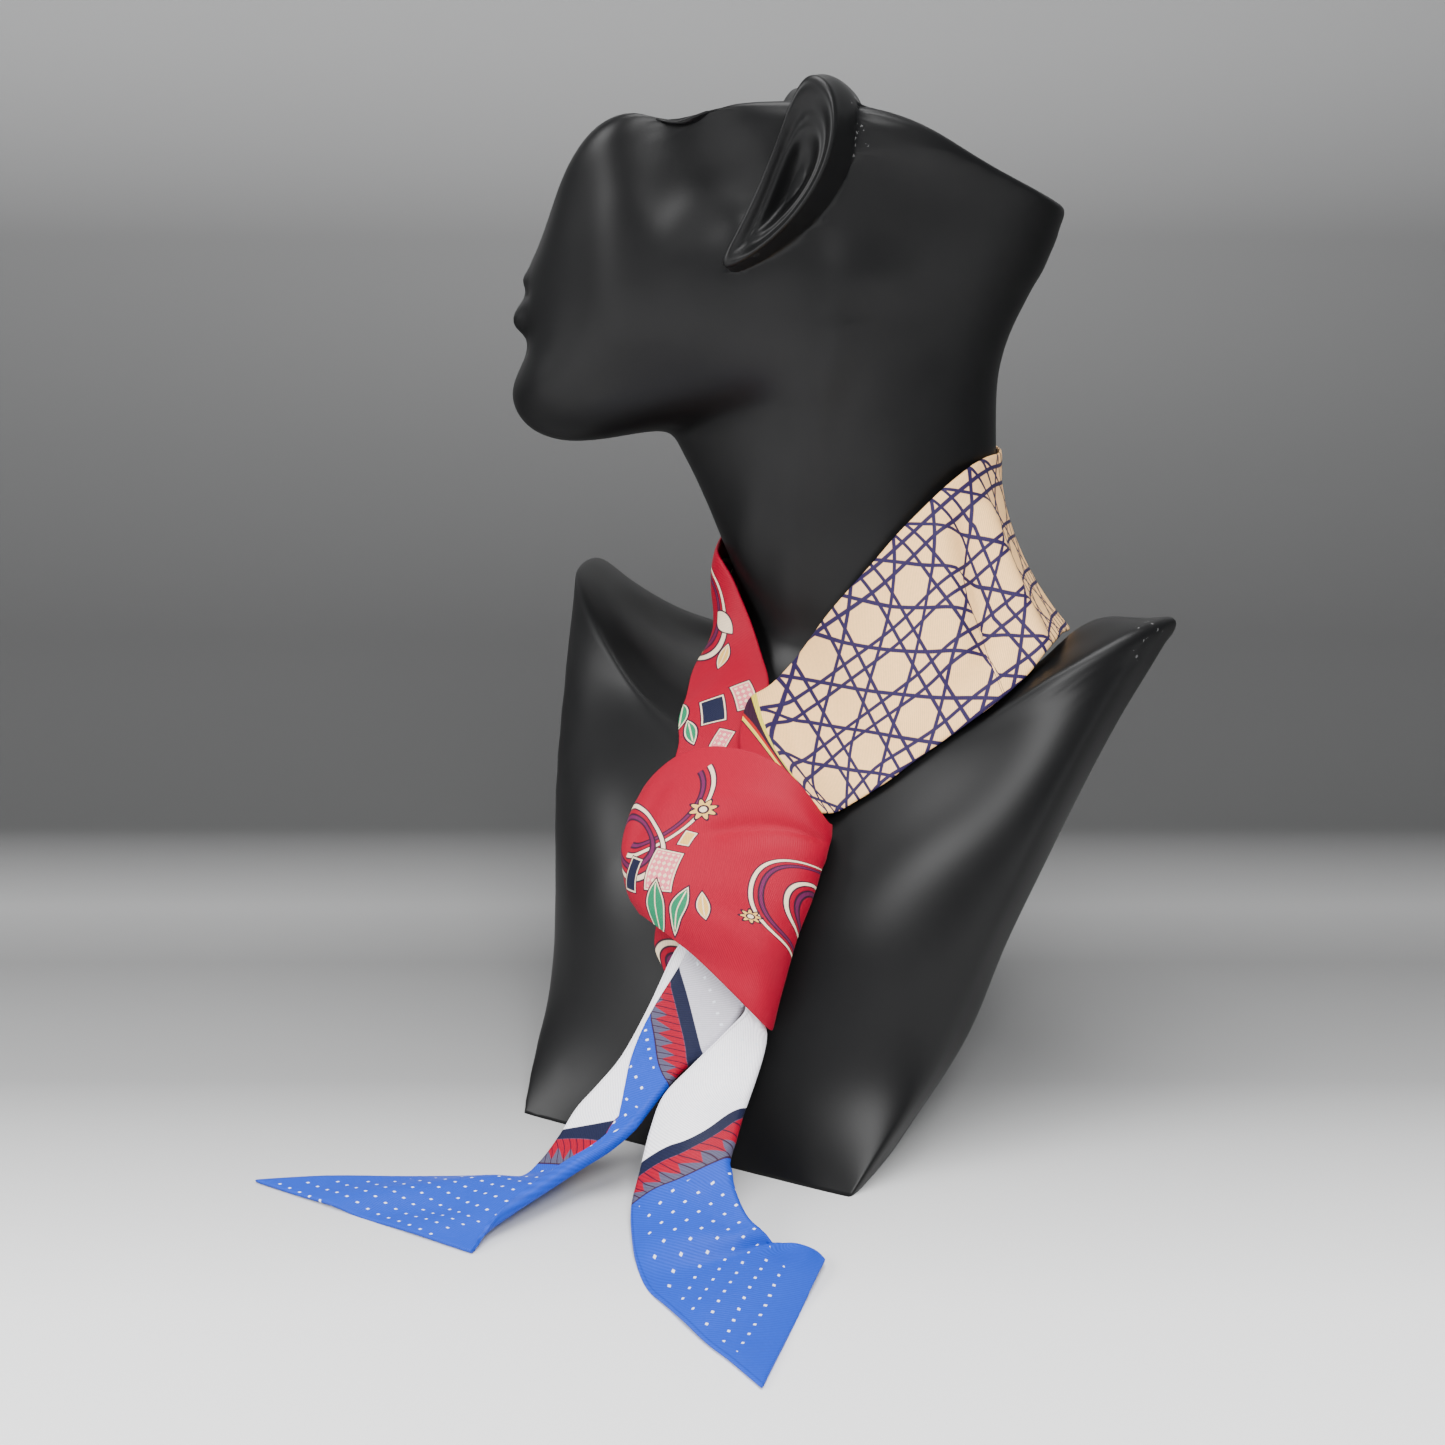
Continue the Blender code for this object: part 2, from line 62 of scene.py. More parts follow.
camera = bpy.data.objects.new("camera", bpy.data.cameras.new("camera"))
camera.data.lens = LENS
camera.data.sensor_width = 36
camera.location = CAMERA_PLACE
camera.rotation_euler = (math.radians(90 - LOOKS_DOWN), 0, math.radians(TURNED_LEFT))
bpy.context.scene.collection.objects.link(camera)
bpy.context.scene.camera = camera
print("camera:", tuple(round(x, 3) for x in camera.location))

# %% [markdown]
# ## Stage and light
# The bust stands on a pale sweep that rises behind it. A sweep is a sheet of paper: a
# floor that curves up into a wall, so no corner shows. It is made by drawing one edge
# along the floor, round the curve and up the wall, and extruding it sideways.

# %% Sweep
SWEEP_NEAR = 1.6
SWEEP_START = 0.62
SWEEP_RADIUS = 0.45
SWEEP_HEIGHT = 2.2
SWEEP_WIDTH = 5.0
SWEEP_STEPS = 16


def linked(name, bm):
    """An object at the origin with this mesh."""
    mesh = bpy.data.meshes.new(name)
    bm.to_mesh(mesh)
    bm.free()
    mesh.shade_smooth()
    made = bpy.data.objects.new(name, mesh)
    bpy.context.scene.collection.objects.link(made)
    return made


bm = bmesh.new()
side = -SWEEP_WIDTH / 2
line = [bm.verts.new((side, -SWEEP_NEAR, 0)), bm.verts.new((side, SWEEP_START, 0))]
for i in range(1, SWEEP_STEPS + 1):
    a = 0.5 * math.pi * i / SWEEP_STEPS
    line.append(bm.verts.new((
        side, SWEEP_START + SWEEP_RADIUS * math.sin(a), SWEEP_RADIUS * (1 - math.cos(a)),
    )))
line.append(bm.verts.new((side, SWEEP_START + SWEEP_RADIUS, SWEEP_HEIGHT)))
edges = [bm.edges.new(pair) for pair in zip(line, line[1:])]
drawn = bmesh.ops.extrude_edge_only(bm, edges=edges)["geom"]
bmesh.ops.translate(
    bm, vec=(SWEEP_WIDTH, 0, 0), verts=[v for v in drawn if isinstance(v, bmesh.types.BMVert)]
)
bmesh.ops.rotate(
    bm, cent=(0, 0, 0), verts=bm.verts,
    matrix=Matrix.Rotation(math.radians(TURNED_LEFT), 3, "Z"),
)
sweep = linked("sweep", bm)
print("sweep:", len(sweep.data.polygons), "faces")

# %% [markdown]
# The paper is white, but the lamps light it unevenly: bright in front, dark behind the
# bust, and brighter again towards the top. Those steps are painted on it, as a ramp of
# greys over the depth behind the middle plus the height.

# %% Sweep paper
PAPER_TONES = (
    # depth plus height in metres, grey
    (-0.30, 0.95), (-0.15, 0.80), (-0.01, 0.24), (0.09, 0.14), (0.15, 0.20), (0.25, 0.035),
    (0.50, 0.050), (0.97, 0.075), (1.25, 0.095), (1.45, 0.22), (1.70, 0.34),
)
PAPER_ROUGHNESS = 0.6


def new_material(name, roughness, specular=0.5):
    """A material with nodes, whose colour is joined to it afterwards."""
    made = bpy.data.materials.new(name)
    made.use_nodes = True
    shader = made.node_tree.nodes["Principled BSDF"]
    shader.inputs["Roughness"].default_value = roughness
    shader.inputs["Specular IOR Level"].default_value = specular
    return made


paper = new_material("sweep_paper", PAPER_ROUGHNESS)
tree = paper.node_tree
place = tree.nodes.new("ShaderNodeTexCoord")
depth = tree.nodes.new("ShaderNodeVectorMath")
depth.operation = "DOT_PRODUCT"
depth.inputs[1].default_value = (
    -math.sin(math.radians(TURNED_LEFT)), math.cos(math.radians(TURNED_LEFT)), 1.0
)
span = tree.nodes.new("ShaderNodeMapRange")
span.inputs["From Min"].default_value = PAPER_TONES[0][0]
span.inputs["From Max"].default_value = PAPER_TONES[-1][0]
tone = tree.nodes.new("ShaderNodeValToRGB")
first, last = PAPER_TONES[0], PAPER_TONES[-1]
tone.color_ramp.elements[0].color = (first[1], first[1], first[1], 1)
tone.color_ramp.elements[1].color = (last[1], last[1], last[1], 1)
for at, grey in PAPER_TONES[1:-1]:
    stop = tone.color_ramp.elements.new((at - first[0]) / (last[0] - first[0]))
    stop.color = (grey, grey, grey, 1)
tree.links.new(place.outputs["Object"], depth.inputs[0])
tree.links.new(depth.outputs["Value"], span.inputs["Value"])
tree.links.new(span.outputs["Result"], tone.inputs["Fac"])
tree.links.new(tone.outputs["Color"], tree.nodes["Principled BSDF"].inputs["Base Color"])
sweep.data.materials.append(paper)
print("paper tones:", len(tone.color_ramp.elements))

# %% [markdown]
# Three round lamps light the bust: one in front of it at its right, one higher up in
# front of it at its left, and one above. The room adds a little cool light.

# %% Lights
SKY_COLOUR = (0.80, 0.84, 0.90)
SKY_STRENGTH = 0.35
LIGHTS = (
    # name, place, size, power, aimed at
    ("window", (-1.0, -1.0, 0.8), 0.9, 24, (0.0, -0.02, 0.14)),
    ("front", (0.9, -1.3, 1.3), 0.9, 38, (0.0, -0.05, 0.12)),
    ("above", (0.1, -0.1, 1.7), 1.2, 41, (0.0, -0.05, 0.1)),
)
for name, place, size, power, aim in LIGHTS:
    lamp = bpy.data.lights.new(name, "AREA")
    lamp.shape = "DISK"
    lamp.size = size
    lamp.energy = power
    made = bpy.data.objects.new(name, lamp)
    made.location = place
    made.rotation_euler = (Vector(aim) - Vector(place)).to_track_quat("-Z", "Y").to_euler()
    bpy.context.scene.collection.objects.link(made)

world = bpy.data.worlds.new("studio")
world.use_nodes = True
background = world.node_tree.nodes["Background"]
background.inputs["Color"].default_value = (*SKY_COLOUR, 1)
background.inputs["Strength"].default_value = SKY_STRENGTH
bpy.context.scene.world = world
print("lights:", len(LIGHTS))

# %% [markdown]
# ## Display bust
# The bust is a hollow moulding with a smooth matt black finish. Its solid already has
# the main forms, in flat facets. A copy is merged and its facets are rounded off by
# Catmull-Clark subdivision, which keeps the forms and gives an even skin.

# %% Bust
SAME_POINT = 0.00002
ON_FLOOR = 0.00005
QUAD_BEND = 40
QUAD_SHAPE = 60


def apply_modifiers(made):
    """Makes an object's modifiers part of its mesh."""
    ready = made.evaluated_get(bpy.context.evaluated_depsgraph_get())
    mesh = bpy.data.meshes.new_from_object(ready)
    made.modifiers.clear()
    made.data = mesh


bm = bmesh.new()
bm.from_mesh(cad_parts["bust"].data)
bmesh.ops.remove_doubles(bm, verts=bm.verts, dist=SAME_POINT)
bmesh.ops.recalc_face_normals(bm, faces=bm.faces)
bmesh.ops.join_triangles(
    bm, faces=bm.faces,
    angle_face_threshold=math.radians(QUAD_BEND), angle_shape_threshold=math.radians(QUAD_SHAPE),
)
for v in bm.verts:
    if v.co.z < ON_FLOOR:
        v.co.z = 0.0
under = [f for f in bm.faces if all(v.co.z == 0.0 for v in f.verts)]
bmesh.ops.delete(bm, geom=under, context="FACES")
bust = linked("display_bust", bm)
rounded = bust.modifiers.new("rounded", "SUBSURF")
rounded.levels = 2
rounded.render_levels = 2
apply_modifiers(bust)
print("bust:", len(bust.data.polygons), "faces, open below")

# %% [markdown]
# The face has low forms that the facets leave out: the lips, the temple, the cheek, the
# line of the jaw and the muscle at the side of the neck. Each is raised or pressed along
# a line, with a bell-shaped fall to its sides, and fades at its ends. The flat underside
# is filled last, so that it stays flat.

# %% Forms of the face and neck
BUST_FORMS = (
    # one end, other end, reach, height out of the skin, in millimetres
    ((-105.4, 15.2, 259.4), (-99.8, 8.2, 258.8), 3.0, 1.2),
    ((-104.4, 13.2, 254.5), (-98.0, 5.2, 254.5), 2.4, -1.0),
    ((-107.2, 14.6, 245.8), (-100.2, 5.8, 245.8), 4.6, 3.2),
    ((-105.0, 13.4, 237.6), (-99.0, 5.8, 237.6), 4.0, -1.0),
    ((-54.7, -7.2, 302.0), (-54.8, -6.4, 238.0), 12.0, 1.6),
    ((-12.0, 2.8, 302.5), (-48.0, -3.5, 280.0), 13.0, -2.2),
    ((-44.0, 0.0, 262.0), (-6.0, 0.0, 294.0), 8.0, 1.6),
    ((-92.0, -4.0, 228.0), (-24.0, 0.0, 233.0), 13.0, -1.8),
    ((12.0, 11.7, 278.0), (-12.0, 24.0, 142.0), 8.0, 2.6),
)
FORM_WIDTHS = 3
FORM_ENDS = 0.05


def formed(bm, forms):
    """Raises or presses soft forms, each along a line near the skin, and fading at its ends."""
    bm.normal_update()
    moves = []
    for v in bm.verts:
        total = 0.0
        for start, end, reach, height in forms:
            a, b = Vector(start) * MM, Vector(end) * MM
            share = max(0.0, min(1.0, (v.co - a).dot(b - a) / (b - a).length_squared))
            gap = (v.co - a.lerp(b, share)).length / (reach * MM)
            if gap < FORM_WIDTHS:
                fade = math.sin(math.pi * (FORM_ENDS + (1 - 2 * FORM_ENDS) * share))
                total += height * math.exp(-gap * gap) * fade
        moves.append(v.normal * (total * MM))
    for v, move in zip(bm.verts, moves):
        v.co += move


bm = bmesh.new()
bm.from_mesh(bust.data)
formed(bm, BUST_FORMS)
for v in bm.verts:
    if v.co.z < 0.0:
        v.co.z = 0.0
rim = [e for e in bm.edges if e.is_boundary]
bmesh.ops.edgeloop_fill(bm, edges=rim)
bmesh.ops.recalc_face_normals(bm, faces=bm.faces)
bm.to_mesh(bust.data)
bm.free()
bust.data.shade_smooth()
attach(bust, "root")
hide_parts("bust")
print("bust:", len(bust.data.polygons), "faces")

# %% [markdown]
# ## The cloth
# Each stretch of the strip that shows is one piece, laid out on a grid: one way along
# the strip and the other across it. A table gives where the strip's two edges run, and
# smooth curves through its rows give every point between. The grid also gets a map of
# the flat cloth, so that the print follows the folds.

# %% Rows and edges
NECK_BACK = 70


def row_at(rows, place):
    """The row at a place between the table's rows, on a Catmull-Rom curve."""
    last = len(rows) - 1
    i = min(int(place), last - 1)
    t = place - i
    before, low, high, after = (rows[max(0, min(last, i + k))] for k in (-1, 0, 1, 2))
    return [
        q + 0.5 * t * (r - p + t * (2 * p - 5 * q + 4 * r - s + t * (3 * (q - r) + s - p)))
        for p, q, r, s in zip(before, low, high, after)
    ]


def round_neck(turn, reach, height):
    """A point round the neck: the turn from the front to the left, in degrees."""
    a = math.radians(turn)
    return Vector((reach * math.sin(a), NECK_BACK - reach * math.cos(a), height)) * MM


print("front of a neck 50 mm in radius:", round_neck(0, 50, 120))

# %% [markdown]
# The flat map is measured on the draped rows. The distance between the middles of two
# rows is a step along the strip, and what a row runs square to that is its width.
# Creases are added afterwards: they lift the cloth with its print and leave the map.

# %% Flat map and creases
ROWS_ROUND = 4


def flat_places(lines):
    """Where each point of the draped rows lies on the flat strip: (along, across), metres."""
    middles = [(line[0] + line[-1]) / 2 for line in lines]
    run = 0.0
    places = []
    for i, line in enumerate(lines):
        if i:
            run += (middles[i] - middles[i - 1]).length
        ahead = middles[min(i + ROWS_ROUND, len(lines) - 1)]
        way = (ahead - middles[max(i - ROWS_ROUND, 0)]).normalized()
        across = 0.0
        places.append([])
        for j, point in enumerate(line):
            if j:
                step = point - line[j - 1]
                across += (step - step.dot(way) * way).length
            places[-1].append((run + (point - middles[i]).dot(way), across))
    return places


def creased(lines, places, creases):
    """The rows with soft creases, each from one place on the flat strip to another."""
    rows, wide = len(lines), len(lines[0])
    moved = []
    for i, line in enumerate(lines):
        moved.append([])
        for j, point in enumerate(line):
            along = lines[min(i + 1, rows - 1)][j] - lines[max(i - 1, 0)][j]
            across = line[min(j + 1, wide - 1)] - line[max(j - 1, 0)]
            out = along.cross(across).normalized()
            spot = Vector(places[i][j]) / MM
            total = 0.0
            for start, end, reach, height in creases:
                a, b = Vector(start), Vector(end)
                share = max(0.0, min(1.0, (spot - a).dot(b - a) / (b - a).length_squared))
                gap = (spot - a.lerp(b, share)).length / reach
                total += height * math.exp(-gap * gap)
            moved[-1].append(point + out * (total * MM))
    return moved


SQUARE = [[Vector((10 * i * MM, 10 * j * MM, 0)) for j in range(2)] for i in range(2)]
print("a 10 mm square lies on the flat strip at:", flat_places(SQUARE))

# %% [markdown]
# A sheet starts as a flat grid, whose points are moved to their places in the rows. It
# lies on the bust's skin where it would cut into it. Solidify then gives it two layers'
# thickness, and one round of subdivision softens its edges. The map's unit square
# stands for half a metre of cloth each way.

# %% Sheet of silk
SILK = 1.2
AIR = 0.8
MAP_SIZE = 0.5
INSIDE = -0.5
SEAM = 0.00001
FLOOR_GAP = 0.00003

bpy.context.view_layer.update()
skin = BVHTree.FromObject(bust, bpy.context.evaluated_depsgraph_get())


def kept_off(point, gap):
    """The point, moved out to the gap from the bust's skin if it is nearer."""
    near, normal, _, distance = skin.find_nearest(point)
    if (point - near).normalized().dot(normal) < INSIDE:
        distance = -distance
    return near + normal * gap if distance < gap else point


def cloth(name, node, lines, creases=(), closed=False):
    """A sheet of silk through these rows of points, with its map of the flat strip."""
    wide = len(lines[0]) - 1
    places = flat_places(lines)
    lines = [
        [kept_off(p, (SILK / 2 + AIR) * MM) for p in line]
        for line in creased(lines, places, creases)
    ]
    bm = bmesh.new()
    bmesh.ops.create_grid(bm, x_segments=len(lines) - 1, y_segments=wide, size=0.5)
    spots = {}
    for v in bm.verts:
        spots[v] = (round((v.co.x + 0.5) * (len(lines) - 1)), round((v.co.y + 0.5) * wide))
    flat = bm.loops.layers.uv.new("cloth")
    for face in bm.faces:
        for loop in face.loops:
            i, j = spots[loop.vert]
            loop[flat].uv = (places[i][j][0] / MAP_SIZE, places[i][j][1] / MAP_SIZE)
    for v, (i, j) in spots.items():
        v.co = lines[i][j]
    if closed:
        bmesh.ops.remove_doubles(bm, verts=bm.verts, dist=SEAM)
    made = linked(name, bm)
    wall = made.modifiers.new("two layers of silk", "SOLIDIFY")
    wall.thickness = SILK * MM
    wall.offset = 0
    soft = made.modifiers.new("soft edges", "SUBSURF")
    soft.levels = 1
    soft.render_levels = 1
    apply_modifiers(made)
    for v in made.data.vertices:
        v.co.z = max(v.co.z, FLOOR_GAP)
    made.data.shade_smooth()
    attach(made, "root")
    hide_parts(node)
    print(name, len(made.data.polygons), "faces")
    return made


print("a sheet's middle stays", SILK / 2 + AIR, "mm off the skin")

# %% [markdown]
# ## Stretch round the neck
# The strip leaves the knot at the bust's right, goes round the nape, and comes back down
# over the left side of the neck to the knot. Its edges are given round the neck's axis.

# %% Neck stretch
LOOP_COLUMNS = ("top_turn", "top_r", "top_z", "low_turn", "low_r", "low_z", "bow")
LOOP_ROWS = (
    (-5, 90, 109, -15, 97, 105, 1),
    (-5, 82, 114, -19, 93, 109, 1),
    (-7, 72.5, 119, -21, 88.5, 114, 2),
    (-9, 63.5, 125, -25, 84, 119.5, 2),
    (-13, 56.5, 131, -30, 77, 125, 3),
    (-20, 52.5, 137, -38, 69, 130, 3.5),
    (-28, 51, 146, -46, 61.5, 134, 3.5),
    (-36, 51.5, 155, -53, 56.5, 136.5, 3),
    (-42, 53, 162, -59, 54, 138, 3),
    (-49, 55.5, 168, -66, 52, 139, 3),
    (-62, 53.5, 170, -80, 52, 138, 3),
    (-80, 51, 174, -96, 54, 136, 3),
    (-100, 49.5, 180, -112, 57, 136, 4),
    (-125, 48.5, 186, -130, 57, 137, 3),
    (-150, 48, 191, -150, 57, 139, 2),
    (-175, 47.5, 196, -172, 58, 141, 1),
    (-200, 46, 200, -195, 59, 142, -2),
    (-222, 44, 202, -220, 61.5, 141, -5.4),
    (-242, 42, 202.5, -242, 65, 140, -6.8),
    (-258, 42, 202.5, -261, 69.5, 144, -5.8),
    (-272, 42, 203, -279, 75, 148, -5),
    (-283, 43, 202.5, -288, 80.5, 149, -4),
    (-294, 44.8, 201, -296, 86, 148, -2),
    (-309, 46.7, 195, -303, 89.5, 142, -1),
    (-325, 49, 184, -312, 91.5, 134, 1),
    (-337, 50, 172, -320, 90, 125, 2),
    (-352, 50, 156, -327, 91, 118, 3),
    (-364, 50, 141, -333, 93.5, 111.5, 3),
    (-370, 58.5, 131, -339, 96, 105.5, 4),
    (-372, 67, 128, -342, 98.5, 103, 4),
    (-371, 72, 125, -344, 100, 103, 3),
    (-369, 77, 122, -346, 101, 103, 3),
    (-366, 84, 118, -349, 102, 103, 2),
    (-363, 89, 114, -352, 102.5, 103, 1),
)
NECK_LONG = 150
NECK_WIDE = 26
NECK_CREASES = (
    # one end, other end (along and across the strip), reach, height in millimetres
    ((313, 12), (340, 50), 3.0, -3.0),
    ((303, 16), (326, 58), 4.5, 2.6),
    ((324, 12), (350, 46), 5.0, 2.2),
    ((398, 16), (412, 44), 4.0, -1.2),
    ((372, 52), (398, 46), 5.0, 0.8),
    ((60, 6), (34, 34), 6.0, -1.2),
)
lines = []
for i in range(NECK_LONG + 1):
    row = dict(zip(LOOP_COLUMNS, row_at(LOOP_ROWS, (len(LOOP_ROWS) - 1) * i / NECK_LONG)))
    top = round_neck(row["top_turn"], row["top_r"], row["top_z"])
    low = round_neck(row["low_turn"], row["low_r"], row["low_z"])
    out = ((top + low) / 2 - Vector((0, NECK_BACK * MM, 0))) * Vector((1, 1, 0))
    across = (low - top).normalized()
    out = (out - out.dot(across) * across).normalized()
    lines.append([
        top.lerp(low, t) + out * (4 * t * (1 - t) * row["bow"] * MM)
        for t in (j / NECK_WIDE for j in range(NECK_WIDE + 1))
    ])
neck_silk = cloth("neck_silk", "neck_loop", lines, NECK_CREASES)

# %% [markdown]
# ## Wrap of the knot
# The strip's other stretch is wound once round the tails, so the wrap is a short sleeve.
# Its rings are flattened ovals between a left and a right end, arched up at the front.

# %% Wrap
KNOT_COLUMNS = (
    "left_x", "left_y", "left_z", "right_x", "right_y", "right_z", "front", "back", "arch",
)
KNOT_ROWS = (
    (-33.6, -32.5, 100.8, 31, -29.8, 101.1, 9, 6, 19),
    (-34.5, -38.8, 94, 32.8, -34.4, 97.7, 11, 7, 12),
    (-33.2, -44.8, 86.2, 33.1, -41, 91.4, 12, 8, 6),
    (-29.4, -49.1, 79.2, 33, -48.3, 82.8, 13, 8, 3),
    (-26.1, -51.7, 74.2, 31.1, -54.7, 72.7, 12, 9, 2),
    (-23.7, -52.8, 71.7, 29.8, -60.7, 59.7, 12, 9, 2),
    (-21.9, -53.5, 69.6, 28.9, -66.2, 46.5, 11, 9, 1.5),
)
TOWARDS = Vector((0.44, -0.83, 0.33)).normalized()
WRAP_LONG = 48
WRAP_ROUND = 112
WRAP_SQUARE = 0.8
WRAP_CREASES = (
    # one end, other end (along and across the strip), reach, height in millimetres
    ((20, 42), (8, 74), 4.0, -1.7),
    ((2, 46), (-4, 66), 6.0, 0.9),
    ((34, 50), (24, 74), 6.0, 0.8),
    ((0, 18), (26, 12), 5.0, -1.0),
    ((30, 16), (62, 34), 7.0, 0.9),
    ((62, 20), (84, 40), 4.0, -0.8),
)
lines = []
for i in range(WRAP_LONG + 1):
    row = dict(zip(KNOT_COLUMNS, row_at(KNOT_ROWS, (len(KNOT_ROWS) - 1) * i / WRAP_LONG)))
    left = Vector((row["left_x"], row["left_y"], row["left_z"])) * MM
    right = Vector((row["right_x"], row["right_y"], row["right_z"])) * MM
    half = (right - left) / 2
    out = (TOWARDS - TOWARDS.dot(half.normalized()) * half.normalized()).normalized()
    up = out.cross(half).normalized()
    ring = []
    for j in range(WRAP_ROUND + 1):
        c, d = (f(2 * math.pi * j / WRAP_ROUND) for f in (math.cos, math.sin))
        reach = math.copysign(abs(c) ** WRAP_SQUARE, c)
        deep = row["front"] if d > 0 else row["back"]
        deep *= math.copysign(abs(d) ** WRAP_SQUARE, d)
        rise = row["arch"] * max(0.0, d) ** 2
        ring.append((left + right) / 2 - half * reach + (out * deep + up * rise) * MM)
    lines.append(ring)
wrap_silk = cloth("wrap_silk", "knot_wrap", lines, WRAP_CREASES, closed=True)

# %% [markdown]
# ## Tails
# Each tail comes out under the wrap, folded lengthwise, and opens towards its slanted
# end on the floor. A row gives the left edge, the fold at the right, how much cloth goes
# round the fold and to which side, and how far the open part bows.

# %% Rows of the tails
TAIL_COLUMNS = (
    "left_x", "left_y", "left_z", "right_x", "right_y", "right_z", "fold", "turn", "bow",
)
LEFT_TAIL_ROWS = (
    (-3.9, -49.7, 71.6, 15.9, -54.8, 60.3, 26, 180, 1),
    (-6.1, -53.6, 65.9, 15.2, -57.4, 55.3, 27, 180, 1),
    (-9, -57.7, 60.5, 17.0, -60.8, 50.6, 28, 180, 1),
    (-13.3, -66.1, 44.7, 9.6, -69.2, 38.6, 26, 180, 1),
    (-18, -74.4, 30.9, 2.1, -74.3, 30.9, 20.5, 180, 1),
    (-22.8, -81.1, 22.8, -1.6, -80.3, 24.6, 15.5, 180, 1),
    (-27.2, -86.5, 16.3, -3.6, -86.6, 19.8, 11.5, 180, 1),
    (-29.2, -93.4, 9.8, -3.7, -93.4, 17.6, 9, 180, 0.5),
    (-32, -100.6, 3.3, -7.5, -100.4, 13.3, 8.5, 180, 0.5),
    (-35, -108.8, 0.75, -12.6, -107.7, 9.8, 8, 180, 0),
    (-48, -115, 0.75, -17.5, -120, 6.9, 6.5, 180, 0),
    (-67.1, -124.4, 0.75, -22.1, -133.2, 4.3, 4.5, 140, 0),
    (-87.6, -134.7, 0.75, -25.1, -142.1, 2, 3, 70, 0),
    (-105.5, -147, 0.75, -25, -150, 0.75, 2, 0, 0),
)
RIGHT_TAIL_ROWS = (
    (16.3, -60.9, 59.7, 21.8, -61.3, 58.3, 2, -180, 0),
    (18.9, -63.9, 54.9, 23.8, -64.5, 52.1, 3, -180, 0),
    (20.6, -66.3, 51, 25.6, -66.2, 47.1, 4, -180, 0),
    (15.7, -67.2, 44.3, 26.7, -69.1, 41.1, 8, -180, 1),
    (6.9, -75.3, 33.1, 26.7, -75, 33.6, 15, -180, 2),
    (1.7, -82.8, 25.6, 26.5, -80.5, 27.6, 18, -180, 3),
    (1.7, -90.8, 18.5, 27.4, -88.1, 20.8, 16, -180, 3),
    (4.6, -102.5, 10.2, 29.6, -96.7, 16.5, 9, -180, 3),
    (7.8, -113.4, 3.3, 36.7, -105.1, 12.1, 3, -120, 2.5),
    (18.4, -129.7, 0.75, 44.6, -111, 8.7, 1.5, -50, 2),
    (29.2, -142.1, 0.75, 51.3, -111.9, 5.8, 1.5, -30, 1),
    (41.5, -149.5, 0.75, 56.6, -108.7, 3.9, 1.5, -20, 1),
    (56.3, -158.1, 0.75, 61.9, -108.1, 2.5, 1.5, -10, 0.5),
    (66.1, -162.6, 0.75, 65, -108.3, 1.5, 1.5, -5, 0.5),
    (79.1, -169.4, 0.75, 68, -110.2, 0.75, 1.5, 0, 0),
)
TUCK_ROWS = (
    (-17.6, -50.7, 70.5, -7.2, -51.3, 65.9, 1.5, 0, 0.5),
    (-18, -52.9, 64.4, -6.9, -53.3, 60.6, 1.5, 0, 0.5),
    (-17.3, -54.3, 59.6, -6.1, -54.8, 56, 1.5, 0, 0.5),
    (-15.2, -55.1, 56.3, -5.6, -55.6, 53, 1.5, 0, 0.5),
    (-12.9, -56.1, 53.1, -5.3, -56.2, 50.6, 1.5, 0, 0.3),
)
print("rows:", len(LEFT_TAIL_ROWS), len(RIGHT_TAIL_ROWS), len(TUCK_ROWS))

# %% [markdown]
# A row of a tail is drawn in two parts: straight across its open part, with a bow, and
# then round the fold. The cloth turns on a small radius until it has turned far enough,
# and runs straight on.

# %% Tails
FOLD_RADIUS = 1.4
TAIL_LONG = 110
TUCK_LONG = 16
OPEN_WIDE = 20
FOLD_HALF = 7
FOLDED_BACK = 180
LEAST_ARC = 0.7
LEFT_CREASES = (
    # one end, other end (along and across the strip), reach, height in millimetres
    ((108, 8), (150, 20), 7.0, 1.3),
    ((118, 30), (160, 34), 6.0, -0.8),
    ((104, 20), (128, 44), 6.0, 1.0),
)
RIGHT_CREASES = (
    ((104, 4), (117, 42), 4.0, -1.6),
    ((96, 6), (106, 30), 5.0, 1.2),
    ((126, 8), (128, 46), 7.0, 1.4),
    ((40, 18), (76, 10), 7.0, 0.9),
    ((84, 24), (100, 28), 5.0, -1.0),
    ((146, 12), (140, 40), 5.0, -0.6),
)


def tail_lines(rows, long):
    """The rows of points of a tail: across its open part, then round the fold."""
    smooth = [
        dict(zip(TAIL_COLUMNS, row_at(rows, (len(rows) - 1) * i / long))) for i in range(long + 1)
    ]
    edges = [
        tuple(Vector((r[e + "_x"], r[e + "_y"], r[e + "_z"])) * MM for e in ("left", "right"))
        for r in smooth
    ]
    made = []
    for i, r in enumerate(smooth):
        left, right = edges[i]
        ahead, behind = edges[min(long, i + 1)], edges[max(0, i - 1)]
        along = (ahead[0] + ahead[1] - behind[0] - behind[1]).normalized()
        across = (right - left).normalized()
        out = along.cross(across).normalized()
        line = []
        for j in range(OPEN_WIDE + 1):
            t = j / OPEN_WIDE
            line.append(left.lerp(right, t) + out * (4 * t * (1 - t) * r["bow"] * MM))
        start = -math.atan2(4 * r["bow"] * MM, (right - left).length)
        end = math.copysign(min(abs(math.radians(r["turn"])), r["fold"] / FOLD_RADIUS), r["turn"])
        least = LEAST_ARC * r["fold"] if abs(r["turn"]) < FOLDED_BACK else 0
        arc = min(r["fold"], max(abs(end - start) * FOLD_RADIUS, least))
        steps = [arc / FOLD_HALF] * FOLD_HALF + [(r["fold"] - arc) / FOLD_HALF] * FOLD_HALF
        for j, step in enumerate(steps):
            a = start + (end - start) * min(1.0, (j + 0.5) / FOLD_HALF)
            line.append(line[-1] + (across * math.cos(a) + out * math.sin(a)) * (step * MM))
        made.append(line)
    return made


